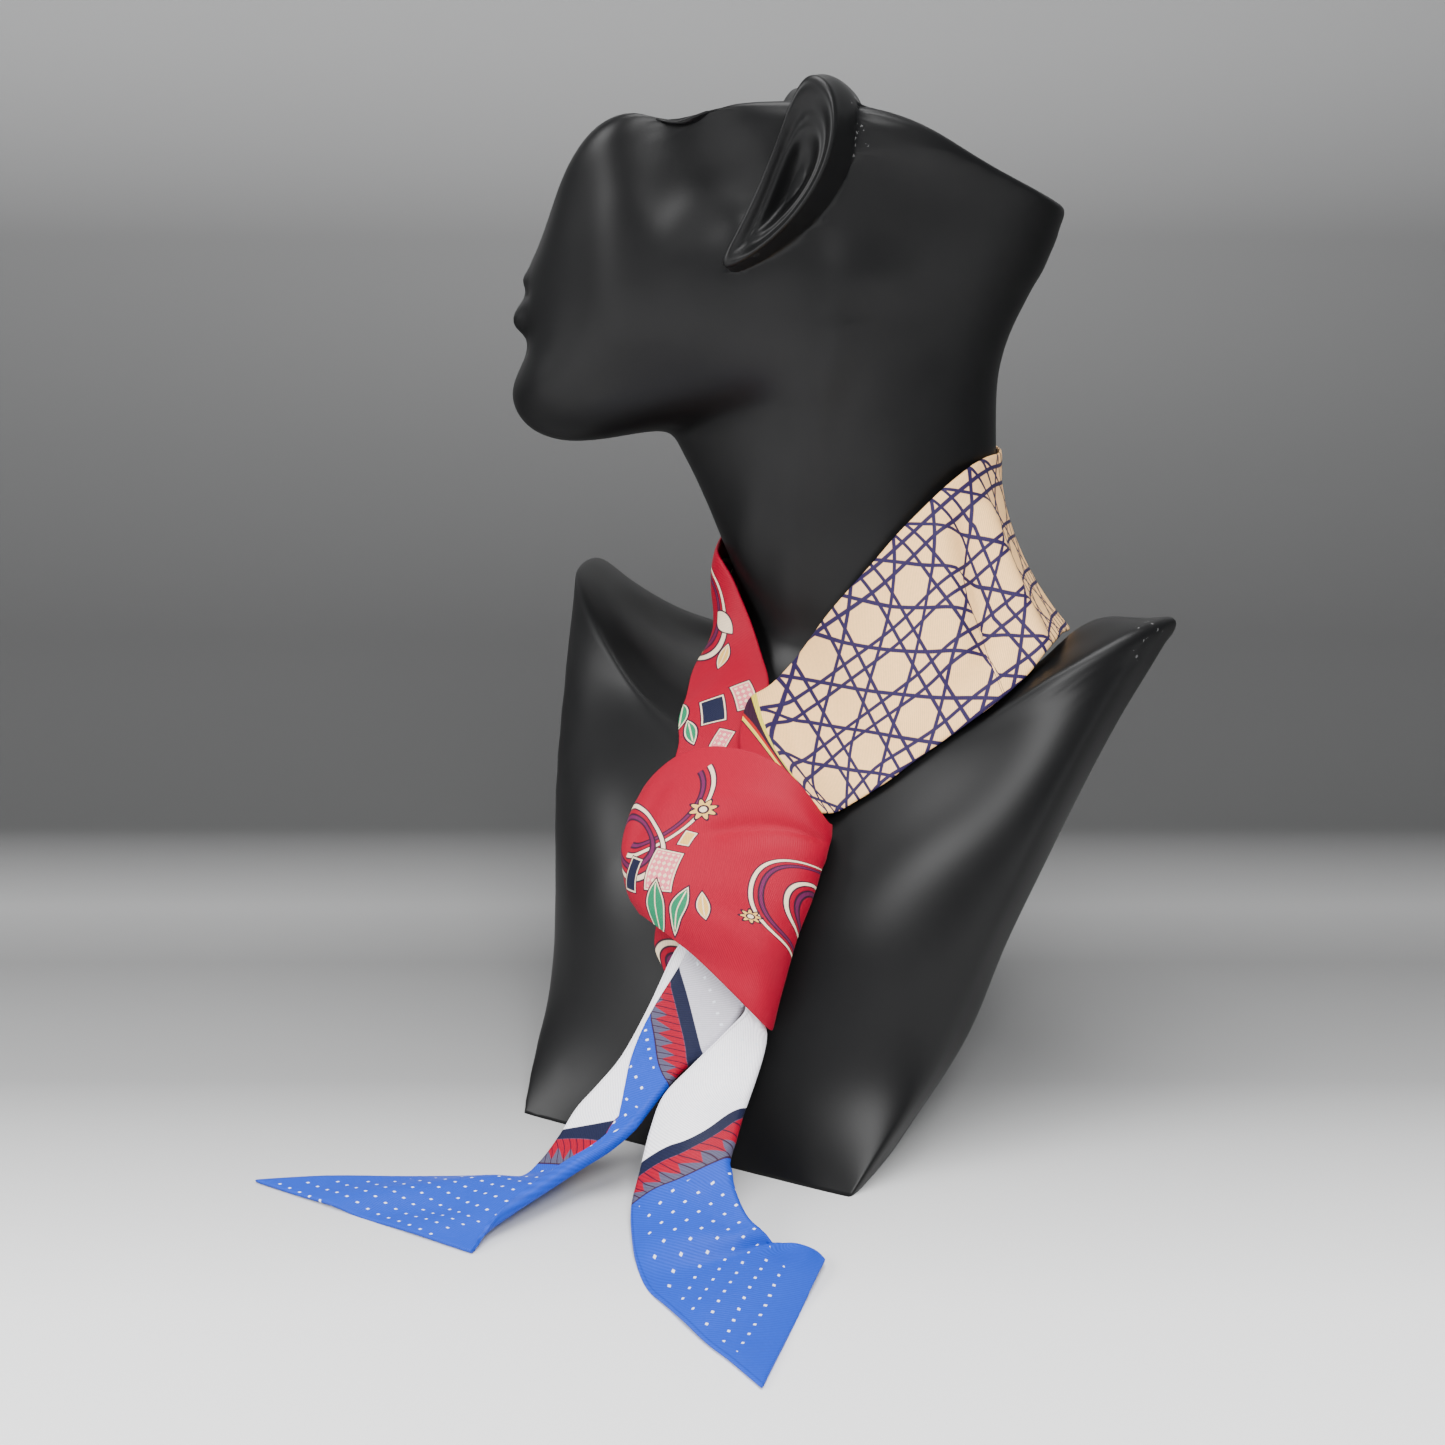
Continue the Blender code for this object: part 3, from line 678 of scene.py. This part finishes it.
left_lines = tail_lines(LEFT_TAIL_ROWS, TAIL_LONG)
left_silk = cloth("left_silk", "tail_left", left_lines, LEFT_CREASES)
right_lines = tail_lines(RIGHT_TAIL_ROWS, TAIL_LONG)
right_silk = cloth("right_silk", "tail_right", right_lines, RIGHT_CREASES)
tuck_silk = cloth("tuck_silk", "knot_tuck", tail_lines(TUCK_ROWS, TUCK_LONG))

# %% [markdown]
# ## Prints
# The print is worked out from the map of the flat strip, so it bends with the cloth. A
# pattern is a chain of small sums: a stripe, a dot or a line is 1 inside and 0 outside,
# and it chooses between two colours. All lengths in these sums are millimetres.

# %% Sums for a print
PRINT_EDGE = 0.12
SILK_ROUGHNESS = 0.48
SILK_SPECULAR = 0.12


class Print:
    """A silk twill whose colour is worked out on the flat strip."""

    def __init__(self, name, ground):
        self.made = new_material(name, SILK_ROUGHNESS, SILK_SPECULAR)
        self.tree = self.made.node_tree
        source = self.tree.nodes.new("ShaderNodeUVMap")
        source.uv_map = "cloth"
        parts = self.tree.nodes.new("ShaderNodeSeparateXYZ")
        self.tree.links.new(source.outputs[0], parts.inputs[0])
        self.along = self.sum("MULTIPLY", parts.outputs[0], MAP_SIZE / MM)
        self.across = self.sum("MULTIPLY", parts.outputs[1], MAP_SIZE / MM)
        rgb = self.tree.nodes.new("ShaderNodeRGB")
        rgb.outputs[0].default_value = (*ground, 1)
        self.colour = rgb.outputs[0]

    def sum(self, operation, *values):
        """One sum, whose values are numbers or the results of other sums."""
        node = self.tree.nodes.new("ShaderNodeMath")
        node.operation = operation
        for i, value in enumerate(values):
            if isinstance(value, (int, float)):
                node.inputs[i].default_value = value
            else:
                self.tree.links.new(value, node.inputs[i])
        return node.outputs[0]

    def plus(self, a, b):
        return self.sum("ADD", a, b)

    def times(self, a, b):
        return self.sum("MULTIPLY", a, b)

    def off(self, value, middle):
        """How far a value is from a middle, without its sign."""
        return self.sum("ABSOLUTE", self.sum("SUBTRACT", value, middle))

    def within(self, distance, reach, soft=PRINT_EDGE):
        """1 where the distance is less than the reach, with a soft edge."""
        node = self.tree.nodes.new("ShaderNodeMapRange")
        node.interpolation_type = "SMOOTHSTEP"
        self.tree.links.new(distance, node.inputs["Value"])
        node.inputs["From Min"].default_value = reach + soft
        node.inputs["From Max"].default_value = reach - soft
        return node.outputs["Result"]

    def beyond(self, value, start, soft=PRINT_EDGE):
        """1 where the value is more than the start, with a soft edge."""
        return self.within(self.times(value, -1), -start, soft)

    def past(self, value, start):
        """How far a value is past a start, and 0 before it."""
        return self.sum("MAXIMUM", self.plus(value, -start), 0.0)

    def repeat(self, value, pitch, shift=0.0):
        """The distance from the nearest line of a row of lines at this pitch."""
        return self.sum("PINGPONG", self.plus(value, shift), pitch / 2)

    def either(self, *covers):
        """1 where any of the covers is 1."""
        made = covers[0]
        for cover in covers[1:]:
            made = self.sum("MAXIMUM", made, cover)
        return made

    def both(self, *covers):
        """1 where all of the covers are 1."""
        made = covers[0]
        for cover in covers[1:]:
            made = self.times(made, cover)
        return made

    def paint(self, cover, colour):
        """Prints a colour where the cover is 1."""
        node = self.tree.nodes.new("ShaderNodeMix")
        node.data_type = "RGBA"
        self.tree.links.new(cover, node.inputs["Factor"])
        self.tree.links.new(self.colour, node.inputs["A"])
        node.inputs["B"].default_value = (*colour, 1)
        self.colour = node.outputs["Result"]

    def slanted(self, angle):
        """The distance along the flat strip in a direction at this angle to it."""
        a = math.radians(angle)
        return self.plus(self.times(self.along, math.cos(a)), self.times(self.across, math.sin(a)))


WHITE = (0.94, 0.92, 0.96)
BEIGE = (0.96, 0.57, 0.235)
RED = (0.30, 0.0003, 0.018)
webbing = Print("cane_twill", BEIGE)
red = Print("red_twill", RED)
left_print = Print("left_twill", WHITE)
right_print = Print("right_twill", WHITE)
print("prints:", [p.made.name for p in (webbing, red, left_print, right_print)])

# %% [markdown]
# ### Cane webbing
# The middle of the strip shows woven cane, as on a chair seat. Pairs of strands run both
# along and across, and single ones cross them slantwise, which leaves eight-sided holes.
# Places are counted in repeats of the weave, so each set of strands is one row of
# straight lines.

# %% Strands of cane
VIOLET = (0.022, 0.013, 0.058)
CELL_LONG = 19.4
CELL_WIDE = 17.3
CELL_SLANT = 12.6
STRAND = 0.60
PAIR = 0.146


def cane(p, along, across):
    """1 on the strands of cane webbing, from places given in repeats."""
    lines = []
    for value, size in ((along, CELL_LONG), (across, CELL_WIDE)):
        for side in (-PAIR, PAIR):
            lines.append(p.within(p.times(p.repeat(value, 1.0, 0.5 + side), size), STRAND))
    for sign in (1, -1):
        slant = p.plus(along, p.times(across, sign))
        lines.append(p.within(p.times(p.repeat(slant, 1.0, 0.5), CELL_SLANT), STRAND))
    return p.either(*lines)


print("one repeat of cane:", CELL_LONG, "x", CELL_WIDE, "mm")

# %% [markdown]
# The weave isn't quite straight on the silk. It sags towards the red border, leans,
# spreads and bends along one edge, and is drawn together behind the crease at the side of
# the neck. Each of these moves a place before it is counted in repeats.

# %% Cane webbing
FIRST_HOLE = (362.0, 17.2)
SAG_START = 318
SAG_SLANT = 1.33
SAG = 0.00267
EDGE_SPREAD = 0.0084
EDGE_START = 0.25
EDGE_BEND = 5.4
LEAN = 3.5
CREASE_START = 316.0
CREASE_SLANT = 0.5
CREASE_EDGE = (0.15, 0.75)
GATHER_START = 16
GATHER_OVER = 26
GATHER = 9.0


def cane_places(p):
    """Places along and across the weave, in repeats, after it has been bent."""
    u, v = p.along, p.across
    slope = p.past(p.plus(u, p.times(v, -SAG_SLANT)), SAG_START)
    sag = p.times(p.times(slope, slope), SAG)
    deep = p.plus(p.plus(v, sag), -FIRST_HOLE[1])
    spread = p.times(p.past(p.times(deep, -1), 0.0), EDGE_SPREAD)
    wide_place = p.plus(p.times(deep, 1 / CELL_WIDE), spread)
    edge = p.past(p.times(wide_place, -1), EDGE_START)
    bend = p.times(p.times(edge, edge), EDGE_BEND)
    behind = p.sum("SUBTRACT", p.plus(p.times(v, CREASE_SLANT), CREASE_START), u)
    drawn = p.sum("MINIMUM", p.times(p.past(v, GATHER_START), 1 / GATHER_OVER), 1.0)
    gathered = p.times(p.times(drawn, GATHER), p.beyond(behind, *CREASE_EDGE))
    long_place = p.plus(u, p.times(wide_place, -LEAN))
    for shift in (bend, gathered):
        long_place = p.sum("SUBTRACT", long_place, shift)
    return p.times(p.plus(long_place, -FIRST_HOLE[0]), 1 / CELL_LONG), wide_place


webbing.paint(cane(webbing, *cane_places(webbing)), VIOLET)
print("cane:", len(webbing.tree.nodes), "nodes")

# %% [markdown]
# ### Red field
# Past the cane the strip turns red at both ends of the neck stretch, behind a border of
# narrow yellow, black and red lines. Each line is painted over all that lies past it, so
# the next colour only has to start a little further on.

# %% Border lines
YELLOW = (0.62, 0.50, 0.05)
GOLD = (0.72, 0.42, 0.10)
MAROON = (0.35, 0.01, 0.01)
INK = (0.030, 0.008, 0.022)
LINE_EDGE = 0.08
LINE_SLANT = 0.5
KNOT_SIDE_LINES = (
    (400.6, YELLOW), (401.6, INK), (402.8, MAROON), (403.8, GOLD), (404.4, YELLOW),
    (405.2, INK), (405.7, RED),
)
RIGHT_SIDE_LINES = (
    (166.0, YELLOW), (165.0, INK), (163.8, MAROON), (162.8, GOLD), (161.6, INK), (161.0, RED),
)

slant = webbing.times(webbing.across, LINE_SLANT)
knot_side = webbing.sum("SUBTRACT", webbing.along, slant)
right_side = webbing.plus(webbing.along, slant)
for start, colour in KNOT_SIDE_LINES:
    webbing.paint(webbing.beyond(knot_side, start, LINE_EDGE), colour)
for end, colour in RIGHT_SIDE_LINES:
    webbing.paint(webbing.within(right_side, end, LINE_EDGE), colour)
print("border lines:", len(KNOT_SIDE_LINES), "and", len(RIGHT_SIDE_LINES))

# %% [markdown]
# Loose ornaments lie on the red: double ribbons, rosettes, leaves and small panels. Each
# is made of a few distances from its centre, along an axis that can be turned.

# %% Ribbons
CREAM = (0.80, 0.62, 0.42)
PLUM = (0.12, 0.012, 0.060)
HALF_EDGE = (1.0, 0.3)
RIBBON_LINES = (
    # how far inside the oval, half its width, colour
    (0, 0.95, INK), (0, 0.55, CREAM), (2.9, 0.95, INK), (2.9, 0.45, PLUM),
)


def turned(p, centre, stretch=1.0, turn=0.0):
    """Places along and across a turned axis through a centre, the first one shortened."""
    a = math.radians(turn)
    du, dv = p.plus(p.along, -centre[0]), p.plus(p.across, -centre[1])
    long = p.plus(p.times(du, math.cos(a)), p.times(dv, math.sin(a)))
    wide = p.plus(p.times(dv, math.cos(a)), p.times(du, -math.sin(a)))
    return p.times(long, 1 / stretch), wide


def from_centre(p, long, wide):
    """The distance from the centre."""
    return p.sum("SQRT", p.plus(p.times(long, long), p.times(wide, wide)))


def ribbon(p, centre, radius, stretch, turn, side=0):
    """A double ribbon, cream beside plum, on an oval, or on one side of it only."""
    long, wide = turned(p, centre, stretch, turn)
    d = from_centre(p, long, wide)
    half = [p.beyond(p.times(wide, side), *HALF_EDGE)] if side else []
    for inset, half_width, colour in RIBBON_LINES:
        p.paint(p.both(p.within(p.off(d, radius - inset), half_width), *half), colour)


print("ribbon lines:", len(RIBBON_LINES))

# %% Rosettes, leaves and panels
GREEN = (0.010, 0.19, 0.085)
PINK = (0.72, 0.16, 0.20)
PETALS = 8
PETAL_DEPTH = 0.22
PANEL_DOTS = 1.9
PANEL_DOT = 0.75


def rosette(p, centre, size):
    """A flower of eight pointed petals round an eye."""
    long, wide = turned(p, centre)
    d = from_centre(p, long, wide)
    petals = p.sum("COSINE", p.times(p.sum("ARCTAN2", wide, long), PETALS))
    outline = p.plus(d, p.times(petals, PETAL_DEPTH * size))
    for place, reach, colour in (
        (outline, size, INK), (outline, size - 0.9, GOLD), (d, 0.45 * size, INK), (d, 0.28 * size, CREAM),
    ):
        p.paint(p.within(place, reach), colour)


def leaf(p, centre, size, stretch, turn, fill):
    """A pointed leaf with an outline and a vein."""
    long, wide = turned(p, centre, stretch, turn)
    across = p.sum("ABSOLUTE", wide)
    bow = p.plus(p.times(p.times(long, long), 1 / size), across)
    for inset, colour in ((0.0, INK), (0.55, CREAM), (1.0, fill)):
        p.paint(p.within(bow, size - inset), colour)
    p.paint(p.both(p.within(across, 0.22), p.within(bow, size - 1.4)), CREAM)


def panel(p, centre, long_half, wide_half, turn, fill, dots=None):
    """A small panel with a cream outline, plain or dotted."""
    long, wide = turned(p, centre, 1.0, turn)
    off_long, off_wide = p.sum("ABSOLUTE", long), p.sum("ABSOLUTE", wide)
    for grow, colour in ((0.9, INK), (0.5, CREAM), (0.0, fill)):
        inside = p.both(p.within(off_long, long_half + grow), p.within(off_wide, wide_half + grow))
        p.paint(inside, colour)
    if dots:
        spot = p.within(p.plus(p.repeat(long, PANEL_DOTS), p.repeat(wide, PANEL_DOTS)), PANEL_DOT)
        inside = p.both(p.within(off_long, long_half - 0.5), p.within(off_wide, wide_half - 0.5))
        p.paint(p.both(spot, inside), dots)


print("a rosette has", PETALS, "petals")

# %% Ornaments
NAVY = (0.010, 0.012, 0.035)
NECK_ORNAMENTS = (
    (ribbon, (118, 34), 15.0, 1.8, -10),
    (rosette, (101, 34), 3.6),
    (leaf, (120, 12), 3.4, 2.4, 15, GREEN),
    (panel, (136, 14), 4.6, 3.2, 12, PINK, CREAM),
    (ribbon, (48, 30), 13.0, 1.9, 12, 1),
    (ribbon, (86, 22), 14.0, 2.2, 8),
    (leaf, (66, 10), 3.4, 2.0, 20, CREAM),
    (leaf, (52, 13), 2.8, 2.2, -30, GOLD),
    (panel, (27, 17), 5.0, 3.6, 18, NAVY),
    (panel, (33, 7.5), 4.6, 3.0, 24, PINK, CREAM),
    (leaf, (26, 28), 3.0, 2.4, 8, GREEN),
    (leaf, (18, 22), 2.6, 2.6, 30, GREEN),
    (rosette, (62, 26), 3.4),
    (panel, (15, 10), 3.4, 2.4, -10, PINK, CREAM),
)
WRAP_ORNAMENTS = (
    (ribbon, (64, 73), 24.0, 1.25, 15),
    (ribbon, (66, 72), 12.5, 1.45, 20),
    (ribbon, (6, 20), 16.5, 1.25, -35, 1),
    (ribbon, (88, 32), 15.0, 1.6, 60, -1),
    (ribbon, (20, 12), 10.0, 1.6, 40),
    (rosette, (9, 37), 4.6),
    (rosette, (60, 46), 3.4),
    (panel, (34, 24), 6.4, 4.6, -28, PINK, CREAM),
    (panel, (31, 12), 4.6, 2.6, -34, NAVY),
    (panel, (23, 33), 3.0, 1.6, -24, GOLD),
    (leaf, (45, 17), 4.2, 2.5, -30, GREEN),
    (leaf, (49, 25), 3.4, 2.9, -46, GREEN),
    (leaf, (52, 33), 2.8, 2.6, -20, GOLD),
)
for p, ornaments in ((webbing, NECK_ORNAMENTS), (red, WRAP_ORNAMENTS)):
    for draw, *values in ornaments:
        draw(p, *values)
print("ornaments:", len(NECK_ORNAMENTS) + len(WRAP_ORNAMENTS))

# %% [markdown]
# ### Dotted ends
# Both ends are white and then blue, with small square dots in staggered rows, and a
# navy stripe and a twisted red and navy rope between the two.

# %% Dots and rope
BLUE = (0.010, 0.052, 0.45)
GREY_NAVY = (0.075, 0.070, 0.120)
DOT_WHITE = (0.85, 0.88, 0.95)
DOT_STEP = 4.4
DOT_ROW = 6.3
DOT_TILT = 32.0
DOT = 0.40
ROPE_START = 0.32
ROPE_LEAN = 9.0
ROPE_STRAND = 2.6
ROPE_TOOTH = 5.2
TOOTH_FOOT = 0.36
TOOTH_RISE = 0.95
SHARE_EDGE = 0.012


def dots(p, *parts):
    """Prints small square dots in slantwise rows, where every part is 1."""
    row, step = p.slanted(DOT_TILT), p.slanted(DOT_TILT - 90)
    spots = p.both(p.within(p.repeat(row, DOT_ROW), DOT), p.within(p.repeat(step, DOT_STEP), DOT))
    p.paint(p.both(spots, *parts), DOT_WHITE)


def border_share(p, start, slant, long):
    """0 to 1 over a border that starts here on the strip and runs slantwise over it."""
    return p.times(p.plus(p.plus(p.along, p.times(p.across, slant)), -start), 1 / long)


def rope(p, share):
    """Navy, then the twisted rope, then blue: share goes from 0 to 1 over the border."""
    inside = p.times(p.plus(share, -ROPE_START), 1 / (1 - ROPE_START))
    twist = p.plus(p.across, p.times(inside, -ROPE_LEAN))
    tooth = p.plus(p.times(p.repeat(twist, ROPE_TOOTH), TOOTH_RISE / ROPE_TOOTH), TOOTH_FOOT)
    on_rope = p.beyond(share, 0.33, SHARE_EDGE)
    red_part = p.within(p.sum("SUBTRACT", inside, tooth), 0.0, 0.03)
    p.paint(p.beyond(share, 0.0, 0.01), NAVY)
    p.paint(on_rope, GREY_NAVY)
    p.paint(p.both(p.beyond(share, 0.34, SHARE_EDGE), red_part), RED)
    p.paint(p.both(p.within(p.repeat(twist, ROPE_STRAND), 0.17, 0.08), on_rope), INK)
    p.paint(p.within(p.off(share, 0.985), 0.02, 0.01), INK)
    p.paint(p.beyond(share, 1.0, SHARE_EDGE), BLUE)


print("dots:", DOT_STEP, "mm apart, in rows", DOT_ROW, "mm apart")

# %% [markdown]
# The left end is folded over, so its border shows twice: once on the open part, and once
# on the flap that comes back over it, whose cloth is seen from its other side. Past 18 mm
# across the strip its white is painted grey: painted shade over the fold and the flap. Only
# the open part and the top of the flap carry dots, and the sewn edge stays plain.

# %% Left end
# grey of the painted shade on the turned-over cloth, in place of its white
FLAP_SHADE_GREY = (0.56, 0.54, 0.60)
TURNED_OVER = 18.0
OPEN_BORDER = (76.0, 0.35, 15.5)
FLAP_BORDER = (53.3, 0.66, 13.0)
LEFT_MARGIN = 4.5
OPEN_DOTS = 19.3
FLAP_DOTS = 28.5
FLAP_END = 84.0
WIDENING = 0.75

p = left_print
turned_over = p.beyond(p.across, TURNED_OVER, 0.4)
# painted shade: the cloth past the fold is printed grey instead of white
p.paint(turned_over, FLAP_SHADE_GREY)
chosen = p.tree.nodes.new("ShaderNodeMix")
p.tree.links.new(turned_over, chosen.inputs["Factor"])
p.tree.links.new(border_share(p, *OPEN_BORDER), chosen.inputs["A"])
p.tree.links.new(border_share(p, *FLAP_BORDER), chosen.inputs["B"])
share = chosen.outputs["Result"]
rope(p, share)
opening = p.times(p.past(p.along, FLAP_END), WIDENING)
open_part = p.within(p.sum("SUBTRACT", p.across, opening), OPEN_DOTS, 0.3)
flap_part = p.both(p.beyond(p.across, FLAP_DOTS, 0.3), p.within(p.along, FLAP_END, 0.4))
clear = p.either(p.within(share, -0.12, 0.02), p.beyond(share, 1.12, 0.02))
dots(p, p.beyond(p.across, LEFT_MARGIN), p.either(open_part, flap_part), clear)
print("left end:", len(p.tree.nodes), "nodes")

# %% [markdown]
# The right end opens out as it falls, so its border bends: it starts earlier and grows
# longer towards the fold.

# %% Right end
BORDER_START = 64.0
BORDER_LONG = 13.3
BEND_START = 12.0
START_BEND = 0.108
LENGTH_BEND = 0.083
DOTS_MIDDLE = 20.25
DOTS_HALF = 16.75
DOTS_END = 150.0
END_SLANT = 0.65

p = right_print
bend = p.past(p.across, BEND_START)
bend = p.times(bend, bend)
start = p.plus(p.plus(p.along, -BORDER_START), p.times(bend, START_BEND))
share = p.sum("DIVIDE", start, p.plus(p.times(bend, LENGTH_BEND), BORDER_LONG))
rope(p, share)
clear = p.either(p.within(share, -0.45, 0.05), p.beyond(share, 1.12, 0.02))
before_end = p.within(p.plus(p.along, p.times(p.across, END_SLANT)), DOTS_END, 0.3)
dots(p, clear, p.within(p.off(p.across, DOTS_MIDDLE), DOTS_HALF), before_end)
print("right end:", len(p.tree.nodes), "nodes")

# %% [markdown]
# ### Twill
# Silk twill has fine slanting ribs. They lighten and darken the print a little and raise
# the surface, together with a fine noise. Beside the sewn edge of the ends runs a faint
# darker line, where the seam is turned in.

# %% Twill
RIB_SHADE = 0.11
GRAIN_SHADE = 0.16
GRAIN_SCALE = 900
HEM_SHADE = -0.22
HEM_IN = 1.1
HEM_HALF = 0.22
WEAVE_BUMP = 0.35
WEAVE_DEPTH = 0.00012
SHEEN = 0.02
SHEEN_ROUGHNESS = 0.35


def twill(p, rib_angle, pitch=0.55, sewn=False):
    """Finishes the cloth: twill ribs, a soft sheen, and the sewn edge."""
    ribs = p.sum("SINE", p.times(p.slanted(rib_angle), 2 * math.pi / pitch))
    noise = p.tree.nodes.new("ShaderNodeTexNoise")
    noise.inputs["Scale"].default_value = GRAIN_SCALE
    noise.inputs["Detail"].default_value = 3
    place = p.tree.nodes.new("ShaderNodeTexCoord")
    p.tree.links.new(place.outputs["Object"], noise.inputs["Vector"])
    grain = p.plus(noise.outputs["Fac"], -0.5)
    shade = p.plus(p.times(ribs, RIB_SHADE), p.times(grain, GRAIN_SHADE))
    if sewn:
        hem = p.within(p.off(p.across, HEM_IN), HEM_HALF)
        shade = p.plus(shade, p.times(hem, HEM_SHADE))
    shaded = p.tree.nodes.new("ShaderNodeHueSaturation")
    p.tree.links.new(p.plus(shade, 1.0), shaded.inputs["Value"])
    p.tree.links.new(p.colour, shaded.inputs["Color"])
    bump = p.tree.nodes.new("ShaderNodeBump")
    bump.inputs["Strength"].default_value = WEAVE_BUMP
    bump.inputs["Distance"].default_value = WEAVE_DEPTH
    p.tree.links.new(p.plus(p.times(ribs, 0.5), noise.outputs["Fac"]), bump.inputs["Height"])
    shader = p.tree.nodes["Principled BSDF"]
    p.tree.links.new(shaded.outputs["Color"], shader.inputs["Base Color"])
    p.tree.links.new(bump.outputs["Normal"], shader.inputs["Normal"])
    shader.inputs["Sheen Weight"].default_value = SHEEN
    shader.inputs["Sheen Roughness"].default_value = SHEEN_ROUGHNESS
    return p.made


red_silk = twill(red, 90)
for made, silk in (
    (neck_silk, twill(webbing, -38)), (wrap_silk, red_silk), (tuck_silk, red_silk),
    (left_silk, twill(left_print, -40, 0.75, sewn=True)),
    (right_silk, twill(right_print, -40, 0.75, sewn=True)),
):
    made.data.materials.append(silk)
print("silks:", [made.active_material.name for made in (neck_silk, wrap_silk, left_silk, right_silk)])

# %% [markdown]
# ### Display bust finish
# The moulding is matt black, with a faint mottle and a fine grain.

# %% Bust finish
BUST_ROUGHNESS = 0.40
BUST_SPECULAR = 0.22
BUST_TONES = ((0.35, (0.0030, 0.0030, 0.0032)), (0.75, (0.0058, 0.0058, 0.0060)))
BUST_BUMP = 0.12
BUST_GRAIN = 0.0001

black = new_material("matt_black", BUST_ROUGHNESS, BUST_SPECULAR)
bust.data.materials.append(black)
tree = black.node_tree
shader = tree.nodes["Principled BSDF"]
place = tree.nodes.new("ShaderNodeTexCoord")


def speckle(scale, detail):
    """A noise that lies fast on the bust."""
    noise = tree.nodes.new("ShaderNodeTexNoise")
    noise.inputs["Scale"].default_value = scale
    noise.inputs["Detail"].default_value = detail
    tree.links.new(place.outputs["Object"], noise.inputs["Vector"])
    return noise.outputs["Fac"]


tone = tree.nodes.new("ShaderNodeValToRGB")
for stop, (at, colour) in zip(tone.color_ramp.elements, BUST_TONES):
    stop.position = at
    stop.color = (*colour, 1)
tree.links.new(speckle(28, 5), tone.inputs["Fac"])
bump = tree.nodes.new("ShaderNodeBump")
bump.inputs["Strength"].default_value = BUST_BUMP
bump.inputs["Distance"].default_value = BUST_GRAIN
tree.links.new(speckle(1600, 2), bump.inputs["Height"])
tree.links.new(bump.outputs["Normal"], shader.inputs["Normal"])
print("bust finish:", len(tree.nodes), "nodes")

# %% [markdown]
# Places that get knocked have pale flecks, on the ear and at the tip of the shoulder. A
# thin ring stands for the hole in the ear's lobe.

# %% Scuffs and lobe
SCUFF_GREY = (0.10, 0.10, 0.10)
SCUFFS = (
    # place, reach, in millimetres
    ((13.1, 13.9, 318.2), 6.0), ((15.6, 14.2, 303.7), 5.0), ((106.8, 44.7, 152.1), 8.0),
    ((-14.0, -2.0, 262.0), 3.0),
)
FLECKS = 0.66
LOBE_HOLE = (-8.7, -3.6, 270.0)
LOBE_RADIUS = 0.9
LOBE_LINE = 0.22
LOBE_SHADE = 0.5


def sum_of(operation, *values, kind="ShaderNodeMath"):
    """A sum of the finish: its output, with these values or links as its inputs."""
    node = tree.nodes.new(kind)
    node.operation = operation
    for socket, value in zip(node.inputs, values):
        if isinstance(value, bpy.types.NodeSocket):
            tree.links.new(value, socket)
        else:
            socket.default_value = value
    return node.outputs["Value"]


def away(spot):
    """The distance from a place on the bust, in millimetres."""
    metres = sum_of("DISTANCE", place.outputs["Object"], Vector(spot) * MM, kind="ShaderNodeVectorMath")
    return sum_of("MULTIPLY", metres, 1 / MM)


worn = 0.0
for spot, reach in SCUFFS:
    worn = sum_of("MAXIMUM", worn, sum_of("LESS_THAN", away(spot), reach))
worn = sum_of("MULTIPLY", worn, sum_of("GREATER_THAN", speckle(520, 4), FLECKS))
off_ring = sum_of("ABSOLUTE", sum_of("SUBTRACT", away(LOBE_HOLE), LOBE_RADIUS))
ring = sum_of("MULTIPLY", sum_of("LESS_THAN", off_ring, LOBE_LINE), LOBE_SHADE)
scuffed = tree.nodes.new("ShaderNodeMix")
scuffed.data_type = "RGBA"
scuffed.inputs["B"].default_value = (*SCUFF_GREY, 1)
tree.links.new(sum_of("MAXIMUM", worn, ring), scuffed.inputs["Factor"])
tree.links.new(tone.outputs["Color"], scuffed.inputs["A"])
tree.links.new(scuffed.outputs["Result"], shader.inputs["Base Color"])
print("scuffs:", len(SCUFFS))
